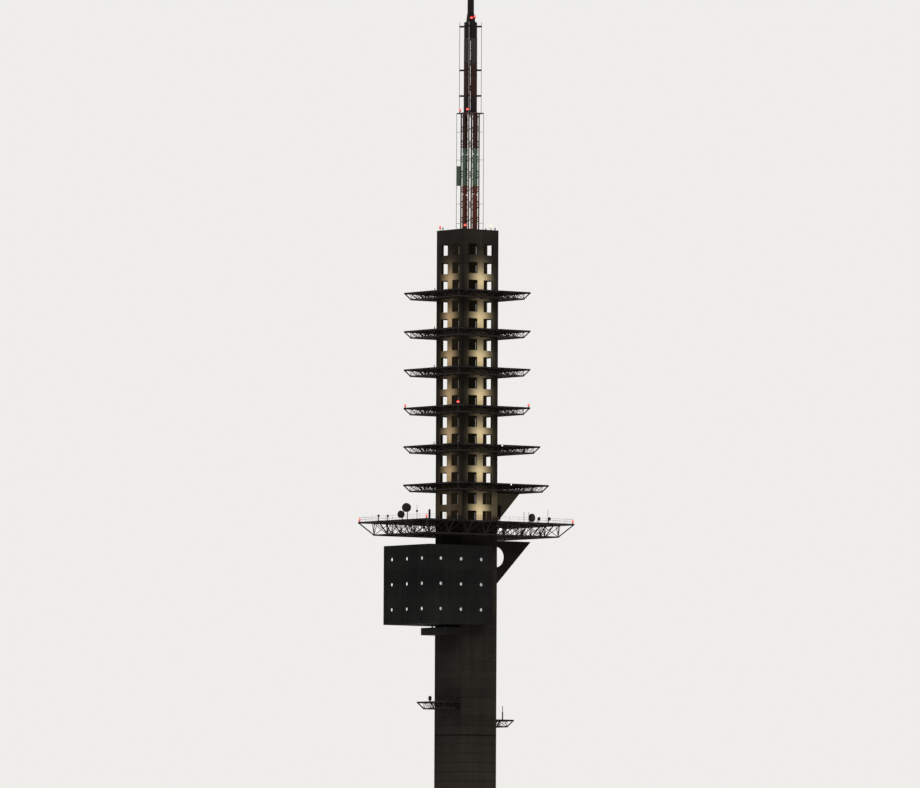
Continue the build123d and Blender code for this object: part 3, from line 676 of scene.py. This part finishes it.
def add_web(mesh, lines_x, lines_y, low, high, drop, radius):
    """The web of a space frame: from each lower node up to the four upper nodes round it."""
    inset = 2 * radius
    upper_x = halves(lines_x, low.x + inset, high.x - inset)
    upper_y = halves(lines_y, low.y + inset, high.y - inset)
    z, seat = high.z - drop, high.z - DECK_PLATE - JOIST_DEPTH / 2
    for i, x in enumerate(lines_x):
        for j, y in enumerate(lines_y):
            if in_shaft(x, y):
                continue
            node = Vector((x, y, z))
            bmesh.ops.create_icosphere(
                mesh, subdivisions=1, radius=NODE_BALL_RADIUS, matrix=Matrix.Translation(node)
            )
            for end_x in upper_x[i:i + 2]:
                for end_y in upper_y[j:j + 2]:
                    if not in_shaft(end_x, end_y):
                        inward = Vector((end_x, end_y, seat)) - node
                        add_bar(mesh, node, node + inward * WEB_REACH, radius)


def add_uprights(mesh, lines_x, lines_y, high, drop):
    """Uprights from the outermost lower nodes to the deck."""
    z, seat = high.z - drop, high.z - DECK_PLATE
    for x in lines_x:
        for y in lines_y:
            if x in (lines_x[0], lines_x[-1]) or y in (lines_y[0], lines_y[-1]):
                add_bar(mesh, (x, y, z), (x, y, seat), LOWEST_UPRIGHT_RADIUS)


def platform_web(level, material):
    """The finer steel under one platform."""
    lines_x, lines_y, low, high, drop = frame_lines(level)
    mesh = bmesh.new()
    if level == 1:
        add_web(mesh, lines_x, lines_y, low, high, drop, LOWEST_WEB_RADIUS)
        add_uprights(mesh, lines_x, lines_y, high, drop)
    else:
        add_fine_chords(mesh, lines_x, lines_y, high.z - drop)
        add_web(mesh, lines_x, lines_y, low, high, drop, WEB_RADIUS)
    new_piece(f"platform_web_{level}", mesh, material)


def platform_joists(level, material):
    """The joists under one deck, along the upper lines of its space frame."""
    lines_x, lines_y, low, high, _ = frame_lines(level)
    top = high.z - DECK_PLATE
    bottom, half = top - JOIST_DEPTH, JOIST_WIDTH / 2
    mesh = bmesh.new()
    for x in halves(lines_x, low.x, high.x)[1:-1]:
        for start, end in stretches(x, low.y + JOIST_WIDTH, high.y - JOIST_WIDTH):
            add_box(mesh, (x - half, start, bottom), (x + half, end, top))
    for y in halves(lines_y, low.y, high.y)[1:-1]:
        for start, end in stretches(y, low.x + JOIST_WIDTH, high.x - JOIST_WIDTH):
            add_box(mesh, (start, y - half, bottom), (end, y + half, top))
    new_piece(f"platform_joists_{level}", mesh, material)


def balcony_web(side, material):
    """The finer steel under a small balcony."""
    low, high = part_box(f"balcony_{side}")
    outward = 1 if side == "east" else -1
    outer = max(abs(low.x), abs(high.x))
    near, chord = HALF_SHAFT + MODULE / 2, outer - CHORD_INSET
    z, seat = high.z - CHORD_DROP, high.z - DECK_PLATE - JOIST_DEPTH / 2
    lines_y = spread(low.y + CHORD_INSET, high.y - CHORD_INSET, MODULE)
    upper_x = [HALF_SHAFT + BALCONY_INSET, (near + chord) / 2, outer - BALCONY_INSET]
    upper_y = halves(lines_y, low.y + BALCONY_INSET, high.y - BALCONY_INSET)
    mesh = bmesh.new()
    for i, x in enumerate((near, chord)):
        for j, y in enumerate(lines_y):
            for end_x in upper_x[i:i + 2]:
                for end_y in upper_y[j:j + 2]:
                    add_bar(mesh, (outward * x, y, z), (outward * end_x, end_y, seat), WEB_RADIUS)
    ends = [(outward * near, y, z) for y in (lines_y[0], lines_y[-1])]
    add_bar(mesh, *ends, FINE_CHORD_RADIUS)
    new_piece(f"balcony_web_{side}", mesh, material)


def deck_railing(material):
    """Posts and two rails round the lowest platform."""
    low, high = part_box("deck_1")
    x, y, top = high.x - RAILING_INSET, high.y - RAILING_INSET, high.z
    corners = [Vector((sx * x, sy * y, top)) for sx, sy in ((-1, -1), (1, -1), (1, 1), (-1, 1))]
    rise = Vector((0, 0, RAILING_HEIGHT))
    mesh = bmesh.new()
    for start, end in zip(corners, corners[1:] + corners[:1]):
        for share in RAIL_PLACES:
            add_bar(mesh, start + rise * share, end + rise * share, RAIL_RADIUS)
        for place in spread(0.0, 1.0, RAILING_SPACING / (end - start).length)[:-1]:
            foot = start.lerp(end, place)
            add_bar(mesh, foot, foot + rise, RAIL_RADIUS)
    new_piece("deck_railing", mesh, material)


def porthole_frames(material):
    """A raised metal ring round every porthole of the block."""
    block_low, block_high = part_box("block_base")
    middle = (block_low.x + block_high.x) / 2
    ring = [(0.034, -0.012), (0.034, 0.002), (0.039, 0.007), (0.056, 0.006), (0.059, 0.0), (0.059, -0.004)]
    ring.append(ring[0])
    mesh = bmesh.new()
    for low, high, _, _ in solids("window_panes"):
        centre, size = (low + high) / 2, high - low
        if size.x < size.y:
            outward = Vector((-1 if centre.x < middle else 1, 0, 0))
            centre.x = block_low.x if centre.x < middle else block_high.x
        else:
            outward = Vector((0, -1 if centre.y < 0 else 1, 0))
            centre.y = block_low.y if centre.y < 0 else block_high.y
        add_turned(mesh, ring, Matrix.Translation(centre) @ turned_to(outward))
    new_piece("porthole_frames", mesh, material, smooth=True)


def add_lamp(collars, glasses, lenses, place, size=1.0):
    """One lamp: a collar, a glass dome and the bright belt of its lens."""
    r, h = LAMP_RADIUS * size, LAMP_HEIGHT * size
    collar = [(0, 0), (0.85 * r, 0), (0.85 * r, 0.15 * h), (0.7 * r, 0.2 * h), (0, 0.2 * h)]
    dome = [
        (0, 0.2 * h), (0.88 * r, 0.2 * h), (0.96 * r, 0.3 * h), (0.96 * r, 0.68 * h), (0.8 * r, 0.87 * h),
        (0.45 * r, 0.97 * h), (0, h),
    ]
    belt = [(0.94 * r, 0.34 * h), (r, 0.36 * h), (r, 0.62 * h), (0.94 * r, 0.64 * h), (0.94 * r, 0.34 * h)]
    add_turned(collars, collar, place, 16)
    add_turned(glasses, dome, place, 16)
    add_turned(lenses, belt, place, 16)


def add_stem(mesh, foot, head):
    """The stem under a lamp, with its foot plate."""
    add_bar(mesh, foot, head, LAMP_STEM_RADIUS, 8)
    plate = [(0, 0), (0.016, 0), (0.016, 0.004), (0.007, 0.007), (0, 0.007)]
    add_turned(mesh, plate, Matrix.Translation(foot) @ turned_to(head - foot), 12)


def lamps(red, pink, white, peach, metal):
    """The red lamps, the pale one among them on the roof, the hanging one and the two on edge beams."""
    collars, glasses, lenses, whites, pale = (bmesh.new() for _ in range(5))
    for low, high, _, _ in solids("obstruction_lamps"):
        centre = (low + high) / 2
        base = Vector((centre.x, centre.y, high.z - LAMP_HEIGHT))
        burns_pale = (centre.xy - Vector(PALE_ROOF_LAMP)).length < LAMP_RADIUS
        glass, lens = (pale, pale) if burns_pale else (glasses, lenses)
        add_lamp(collars, glass, lens, Matrix.Translation(base))
        add_stem(collars, Vector((centre.x, centre.y, low.z)), base)
    for low, high, _, _ in solids("white_lamps"):
        centre = (low + high) / 2
        if high.z - low.z > LAMP_HEIGHT:
            head = Vector((centre.x, centre.y, low.z + LAMP_HEIGHT))
            add_lamp(collars, whites, whites, Matrix.Translation(head) @ Matrix.Rotation(pi, 4, "X"))
            add_stem(collars, Vector((centre.x, centre.y, high.z)), head)
        else:
            face = Vector((centre.x, high.y, centre.z))
            add_lamp(collars, whites, whites, Matrix.Translation(face) @ Matrix.Rotation(pi / 2, 4, "X"), 0.5)
    new_piece("lamp_glasses", glasses, red, replaces=("obstruction_lamps",), smooth=True)
    new_piece("lamp_lenses", lenses, pink, smooth=True)
    new_piece("white_lamp_glasses", whites, white, replaces=("white_lamps",), smooth=True)
    new_piece("pale_lamp_glass", pale, peach, smooth=True)
    new_piece("lamp_collars", collars, metal, smooth=True)


def floodlight_heads(metal, glass):
    """A housing on a yoke in front of each face, with its glass towards the wall."""
    housings, lenses = bmesh.new(), bmesh.new()
    for low, high, _, _ in solids("floodlights"):
        centre = (low + high) / 2
        inward = Vector((-centre.x, 0, 0)) if abs(centre.x) > abs(centre.y) else Vector((0, -centre.y, 0))
        inward.normalize()
        across = inward.cross(Vector((0, 0, 1)))
        turn = Matrix((across, -inward, Vector((0, 0, 1)))).transposed().to_4x4()
        place = Matrix.Translation((centre.x, centre.y, low.z)) @ turn
        head = place @ Matrix.Translation((0, 0, FLOODLIGHT_AXLE)) @ Matrix.Rotation(FLOODLIGHT_TILT, 4, "X")
        add_box(housings, (-0.032, -0.012, -0.010), (0.032, 0.012, 0.010), 0.003, head)
        add_box(lenses, (-0.028, -0.014, -0.007), (0.028, -0.0118, 0.007), 0.0008, head)
        for side in (-0.034, 0.034):
            add_box(housings, (side - 0.001, -0.004, 0.0), (side + 0.001, 0.004, 0.022), place=place)
        add_box(housings, (-0.034, -0.005, 0.0), (0.034, 0.005, 0.002), place=place)
    new_piece("floodlight_housings", housings, metal, replaces=("floodlights",))
    new_piece("floodlight_glasses", lenses, glass)


def front_of(flats):
    """Centre, direction and radius of the largest flat side of a solid."""
    sides = {}
    for centre, normal, area in flats:
        key = tuple(round(v, 2) for v in normal)
        total, moment = sides.get(key, (0.0, Vector()))
        sides[key] = (total + area, moment + centre * area)
    key, (area, moment) = max(sides.items(), key=lambda item: item[1][0])
    return moment / area, Vector(key).normalized(), (area / pi) ** 0.5


def dish_drums(paint, metal):
    """Drum-shaped dishes: a deep shroud with a domed cover, a spun back and a clamp on its post."""
    drums, posts = bmesh.new(), bmesh.new()
    for low, high, _, flats in solids("dishes"):
        front, facing, r = front_of(flats)
        profile = [
            (0, 0.10 * r), (0.55 * r, 0.08 * r), (0.93 * r, 0.02 * r), (r, -0.02 * r), (1.03 * r, -0.04 * r),
            (1.03 * r, -0.12 * r), (r, -0.14 * r), (r, -0.55 * r), (0.80 * r, -0.72 * r),
            (0.36 * r, -0.98 * r), (0.30 * r, -1.02 * r), (0, -1.04 * r),
        ]
        add_turned(drums, profile, Matrix.Translation(front) @ turned_to(facing), 32)
        hub = front - facing * r
        foot = Vector((hub.x, hub.y, low.z))
        head = Vector((hub.x, hub.y, min(high.z, hub.z + 0.5 * r)))
        grip = Vector((0, 0, 0.25 * r))
        flange = [(0, 0), (0.020, 0), (0.020, 0.005), (0.010, 0.006), (0, 0.006)]
        add_bar(posts, foot, head, 0.008, 12)
        add_turned(posts, flange, Matrix.Translation(foot), 12)
        add_bar(posts, hub - grip, hub + grip, 0.012, 12)
    new_piece("dish_drums", drums, paint, replaces=("dishes",), smooth=True)
    new_piece("dish_posts", posts, metal, smooth=True)


def add_post(mesh, foot, radius, height, head=0.0, sleeve=0.0):
    """A round post with a foot flange, a rounded top and, where asked, a thicker head or lower part."""
    flange = max(radius, sleeve) + 0.008
    profile = [(0, 0), (flange, 0), (flange, 0.004), (max(radius, sleeve), 0.007)]
    if sleeve:
        profile += [(sleeve, 0.55 * height), (radius, 0.58 * height)]
    if head:
        neck = 0.15 * height
        profile += [(radius, neck), (0.8 * head, neck + 0.006), (head, neck + 0.014)]
        profile += [(head, height - 0.6 * head), (0.7 * head, height - 0.2 * head), (0, height)]
    else:
        profile += [(radius, height - 0.7 * radius), (0.6 * radius, height - 0.15 * radius), (0, height)]
    add_turned(mesh, profile, Matrix.Translation(foot), 12)


def deck_aerials(metal, panel_paint):
    """Aerials on the decks and balconies as round posts, with knobs, a thick head and the panel's cover."""
    mesh, panel = bmesh.new(), bmesh.new()
    west_balcony, east_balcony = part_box("balcony_west")[1].z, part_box("balcony_east")[1].z
    for low, high, points, _ in solids("deck_aerials"):
        centre = (low + high) / 2
        foot = Vector((centre.x, centre.y, low.z))
        height, radius = high.z - low.z, (high.x - low.x) / 2
        if len(points) == POST_POINTS:
            head = WEST_POST_HEAD if abs(low.z - west_balcony) < 0.001 else 0.0
            sleeve = EAST_POST_SLEEVE if abs(low.z - east_balcony) < 0.001 else 0.0
            add_post(mesh, foot, radius, height, head, sleeve)
            continue
        half = Vector((radius, radius, 0))
        underside = min(point.z for point in points if (point.xy - centre.xy).length > radius)
        add_post(mesh, foot, 0.008, height)
        add_box(panel, (*(centre - half).xy, underside), (*(centre + half).xy, high.z), 0.010)
    for x, y, height, radius in POST_KNOBS:
        place = Matrix.Translation((x, y, LOWEST_DECK + height))
        bmesh.ops.create_icosphere(mesh, subdivisions=2, radius=radius, matrix=place)
    for x, y, height in ROOF_POSTS:
        add_post(mesh, Vector((x, y, ROOF_EDGE)), 0.006, height, 0.012)
    new_piece("deck_aerial_posts", mesh, metal, replaces=("deck_aerials",), smooth=True)
    new_piece("panel_aerial_cover", panel, panel_paint, smooth=True)


def aerial_head(dark):
    """The drum, its cone and the round-headed tip, turned smooth, with the seams of their covers."""
    low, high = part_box("drum")
    tip_low, tip_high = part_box("aerial_tip")
    radius, tip = (high.x - low.x) / 2, (tip_high.x - tip_low.x) / 2
    top = high.z - low.z
    rim, shoulder, groove = top - CONE_HEIGHT, radius - DRUM_RIM, 0.003
    drum = [(0, 0), (radius - 0.006, 0), (radius, 0.006)]
    for seam in (rim / 3, 2 * rim / 3):
        drum += [(radius, seam - 0.004), (radius - groove, seam), (radius, seam + 0.004)]
    drum += [
        (radius, rim - 0.006), (radius - 0.006, rim), (shoulder, rim), (shoulder - 0.004, rim + 0.01),
        (tip + 0.008, top - 0.012), (tip + 0.008, top), (0, top),
    ]
    mesh = bmesh.new()
    add_turned(mesh, drum, Matrix.Translation((AERIAL_X, 0, low.z)), 48)
    new_piece("drum_cover", mesh, dark, replaces=("drum",), smooth=True)
    dome = tip_high.z - tip_low.z - tip
    profile = [(0, 0), (tip, 0)]
    for seam in TIP_SEAMS:
        profile += [(tip, seam * dome - 0.004), (tip - groove, seam * dome), (tip, seam * dome + 0.004)]
    turns = [pi / 2 * i / 10 for i in range(11)]
    profile += [(tip * cos(turn), dome + tip * sin(turn)) for turn in turns]
    mesh = bmesh.new()
    add_turned(mesh, profile, Matrix.Translation((AERIAL_X, 0, tip_low.z)), 48)
    new_piece("tip_cover", mesh, dark, replaces=("aerial_tip",), smooth=True)


def aerial_covers(node, paint):
    """Aerial panels with rounded covers, each a little longer than its plain panel."""
    mesh = bmesh.new()
    for _, _, points, flats in solids(node):
        facing = front_of(flats)[1]
        across = facing.cross(Vector((0, 0, 1)))
        turn = Matrix((across, facing, across.cross(facing))).transposed()
        low, high = extent([turn.transposed() @ point for point in points])
        low.z -= COVER_OVERHANG
        high.z += COVER_OVERHANG
        add_box(mesh, low, high, 0.007, turn.to_4x4())
    new_piece(f"{node}_covers", mesh, paint, replaces=(node,), smooth=True)


def lattice_plates(node, bays, material):
    """Splice plates round the legs of a lattice at every bay, and its foot plates."""
    low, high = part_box(node)
    reach = (high.y - low.y) / 2 - LEG_INSET
    step = (high.z - low.z) / bays
    flange = Vector((0.014, 0.014, 0.004))
    foot = Vector((0.026, 0.026, 0.008))
    mesh = bmesh.new()
    for i in range(bays):
        for turn in range(4):
            spin = Matrix.Translation((AERIAL_X, 0, 0)) @ Matrix.Rotation(turn * pi / 2, 4, "Z")
            corner = spin @ Vector((reach, reach, low.z + step * i))
            if i:
                add_box(mesh, corner - flange, corner + flange, 0.001)
            else:
                add_box(mesh, corner - Vector((foot.x, foot.y, 0)), corner + foot, 0.002)
    new_piece(f"{node}_plates", mesh, material)


def rod_brackets(node, thickness, material):
    """A clamp block round each arm that holds a rod, from the lattice's corner to the rod."""
    mesh = bmesh.new()
    for low, high, points, _ in solids(node):
        centre = (low + high) / 2
        outward = Vector((1 if centre.x > AERIAL_X else -1, 1 if centre.y > 0 else -1, 0)).normalized()
        axis = Vector((AERIAL_X, 0, 0))
        places = [((point - axis).dot(outward), round(point.z, 3)) for point in points]
        near, far = min(places)[0], max(places)[0]
        levels = sorted({z for distance, z in places if distance < near + ARM_THICKNESS})
        turn = outward.to_track_quat("X", "Z").to_matrix().to_4x4()
        for bottom, top in zip(levels, levels[1:]):
            if top - bottom < ARM_THICKNESS:
                z = (bottom + top) / 2
                start, end = (near, -thickness / 2, z - thickness), (far, thickness / 2, z + thickness)
                add_box(mesh, start, end, 0.004, Matrix.Translation(axis) @ turn)
    new_piece(f"{node}_brackets", mesh, material)


def door_trim(material):
    """Frame, hinges and handle of the entrance door."""
    low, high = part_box("entrance_door")
    back, front = -HALF_SHAFT - 0.002, low.y
    edge = 0.006
    mesh = bmesh.new()
    for x in (low.x, high.x - edge):
        add_box(mesh, (x, back, low.z), (x + edge, front, high.z), 0.001)
    add_box(mesh, (low.x, back, high.z - edge), (high.x, front, high.z), 0.001)
    for rise in HINGES:
        z = low.z + rise
        add_box(mesh, (low.x + edge, front - 0.003, z), (low.x + 0.016, front, z + 0.012))
    handle = Vector((high.x - 0.018, front - 0.006, low.z + 0.1))
    add_bar(mesh, handle, handle + Vector((0, 0, 0.025)), 0.002)
    new_piece("door_trim", mesh, material)


def set_materials(finishes):
    """Gives every CAD node the finish of its slot, or its own."""
    slots = {part["node"]: part["material_slot"] for part in frame["record"]["subparts"]}
    for name, node in frame["nodes"].items():
        material = finishes.get(name, finishes[slots[name]])
        if not node.material_slots:
            node.data.materials.append(material)
        for slot in node.material_slots:
            slot.material = material


def stage():
    """Pale floor, pale background and soft light."""
    mesh = bmesh.new()
    bmesh.ops.create_circle(mesh, cap_ends=True, segments=64, radius=FLOOR_RADIUS)
    data = bpy.data.meshes.new("floor")
    mesh.to_mesh(data)
    mesh.free()
    floor = placed("floor", data)
    material = bpy.data.materials.new("floor_pale")
    material.use_nodes = True
    surface = material.node_tree.nodes["Principled BSDF"]
    surface.inputs["Base Color"].default_value = (*BACKGROUND, 1.0)
    surface.inputs["Roughness"].default_value = 0.9
    data.materials.append(material)

    world = bpy.data.worlds.new("studio")
    bpy.context.scene.world = world
    world.use_nodes = True
    nodes, links = world.node_tree.nodes, world.node_tree.links
    nodes.clear()
    light, seen = nodes.new("ShaderNodeBackground"), nodes.new("ShaderNodeBackground")
    light.inputs["Color"].default_value = (1.0, 1.0, 1.0, 1.0)
    light.inputs["Strength"].default_value = SKY_LIGHT
    seen.inputs["Color"].default_value = (*BACKGROUND, 1.0)
    path = nodes.new("ShaderNodeLightPath")
    rays = path.outputs["Is Camera Ray"]
    for kind in ("Is Glossy Ray", "Is Transmission Ray"):
        either = nodes.new("ShaderNodeMath")
        either.operation = "MAXIMUM"
        links.new(rays, either.inputs[0])
        links.new(path.outputs[kind], either.inputs[1])
        rays = either.outputs[0]
    mix = nodes.new("ShaderNodeMixShader")
    for source, socket in zip((rays, light.outputs[0], seen.outputs[0]), mix.inputs):
        links.new(source, socket)
    out = nodes.new("ShaderNodeOutputWorld")
    links.new(mix.outputs[0], out.inputs[0])

    for name, azimuth, height, strength in SUNS:
        lamp = bpy.data.lights.new(name, "SUN")
        lamp.energy = strength
        lamp.angle = SUN_SPREAD
        thing = placed(name, lamp)
        turn, fall = radians(azimuth), radians(height)
        direction = Vector((sin(turn) * cos(fall), cos(turn) * cos(fall), -sin(fall)))
        thing.rotation_euler = direction.to_track_quat("-Z", "Y").to_euler()


def camera():
    """The photograph's viewpoint."""
    data = bpy.data.cameras.new("camera")
    data.lens = FOCAL_LENGTH_PIXELS * data.sensor_width / IMAGE_WIDTH
    data.clip_start = 0.5
    data.clip_end = 2000.0
    thing = placed("camera", data)
    along = Vector((sin(CAMERA_AZIMUTH), cos(CAMERA_AZIMUTH), 0))
    turn = CAMERA_AZIMUTH + CAMERA_YAW
    forward = Vector((sin(turn) * cos(CAMERA_PITCH), cos(turn) * cos(CAMERA_PITCH), sin(CAMERA_PITCH)))
    right = Vector((cos(turn), -sin(turn), 0))
    up = right.cross(forward)
    rolled_right = cos(CAMERA_ROLL) * right + sin(CAMERA_ROLL) * up
    rolled_up = cos(CAMERA_ROLL) * up - sin(CAMERA_ROLL) * right
    axes = Matrix((rolled_right, rolled_up, -forward)).transposed().to_4x4()
    thing.matrix_world = Matrix.Translation(Vector((0, 0, CAMERA_HEIGHT)) - along * CAMERA_DISTANCE) @ axes
    bpy.context.scene.camera = thing
    bpy.context.scene.view_settings.view_transform = "Standard"


def main():
    """Dresses the mast."""
    camera()
    stage()
    finishes = {
        "shaft_concrete": concrete("shaft_concrete", SHAFT_GREY, lit=True, inside=0.30, painted_lit_foot=True),
        "block_concrete": concrete("block_concrete", BLOCK_GREY, lift=BLOCK_LIFT),
        "floor_concrete": concrete("floor_concrete", FLOOR_GREY, lift=FLOOR_LIFT, inside=0.35),
        "upper_fin": concrete("upper_fin_concrete_painted_light", UPPER_FIN_PAINTED_LIT_GREY, stray=FIN_STRENGTH),
        "lower_fin": concrete("lower_fin_concrete_painted_shade", LOWER_FIN_PAINTED_SHADE_GREY),
        "deck_steel": painted_steel("deck_steel", DECK_BLACK, 0.6, 0.3, plate=DECK_PLATE_SIZE),
        "cabin": painted_steel("cabin_cladding", DECK_BLACK, 0.6, 0.2, rib=CABIN_RIB),
        "frame_steel": painted_steel("frame_steel", FRAME_BROWN, 0.55, 0.35),
        "lower_rods": painted_steel("rod_steel", ROD_GREY, 0.5, 0.3),
        "gallery": painted_steel("gallery_paint", GALLERY_BROWN, 0.5, 0.4),
        "window_glass": lit_pane("window_glass"),
        "door_paint": painted_steel("door_paint", DOOR_GREY),
        "aerial_paint": banded_paint("aerial_paint"),
        "aerial_dark": painted_steel("aerial_dark", AERIAL_DARK, 0.45, 0.2),
        "dish_paint": painted_steel("dish_paint", DISH_GREY, 0.45, 0.1),
        "lamp_red": lamp_glass("lamp_red", LIGHT_RED, 1.2),
        "lamp_warm": painted_steel("floodlight_paint", FLOODLIGHT_GREY),
        "lamp_white": lamp_glass("lamp_white", LIGHT_WHITE, 1.4),
    }
    finishes["upper_rods"] = finishes["lower_rods"]
    set_materials(finishes)
    frame_steel, deck_steel, dark = (finishes[name] for name in ("frame_steel", "deck_steel", "aerial_dark"))
    for level in range(1, PLATFORMS + 1):
        platform_web(level, frame_steel)
        platform_joists(level, deck_steel)
    for side in ("east", "west"):
        balcony_web(side, frame_steel)
    deck_railing(dark)
    porthole_frames(deck_steel)
    pink_glass = lamp_glass("lamp_lens", LIGHT_PINK, 1.7)
    peach_glass = lamp_glass("lamp_pale", LIGHT_PEACH, 1.2)
    lamps(finishes["lamp_red"], pink_glass, finishes["lamp_white"], peach_glass, dark)
    floodlight_heads(finishes["lamp_warm"], lamp_glass("floodlight_glass", LIGHT_WARM, 1.5))
    dish_drums(finishes["dish_paint"], dark)
    deck_aerials(dark, painted_steel("panel_paint", PANEL_BROWN, 0.5, 0.3))
    aerial_head(dark)
    for node, bays in LATTICE_BAYS:
        lattice_plates(node, bays, finishes["aerial_paint"])
    rod_brackets("upper_rods", BRACKET_THICKNESS, dark)
    for node in ("lower_aerial_panels", "upper_aerial_panels"):
        aerial_covers(node, finishes["aerial_paint"])
    door_trim(finishes["door_paint"])


main()
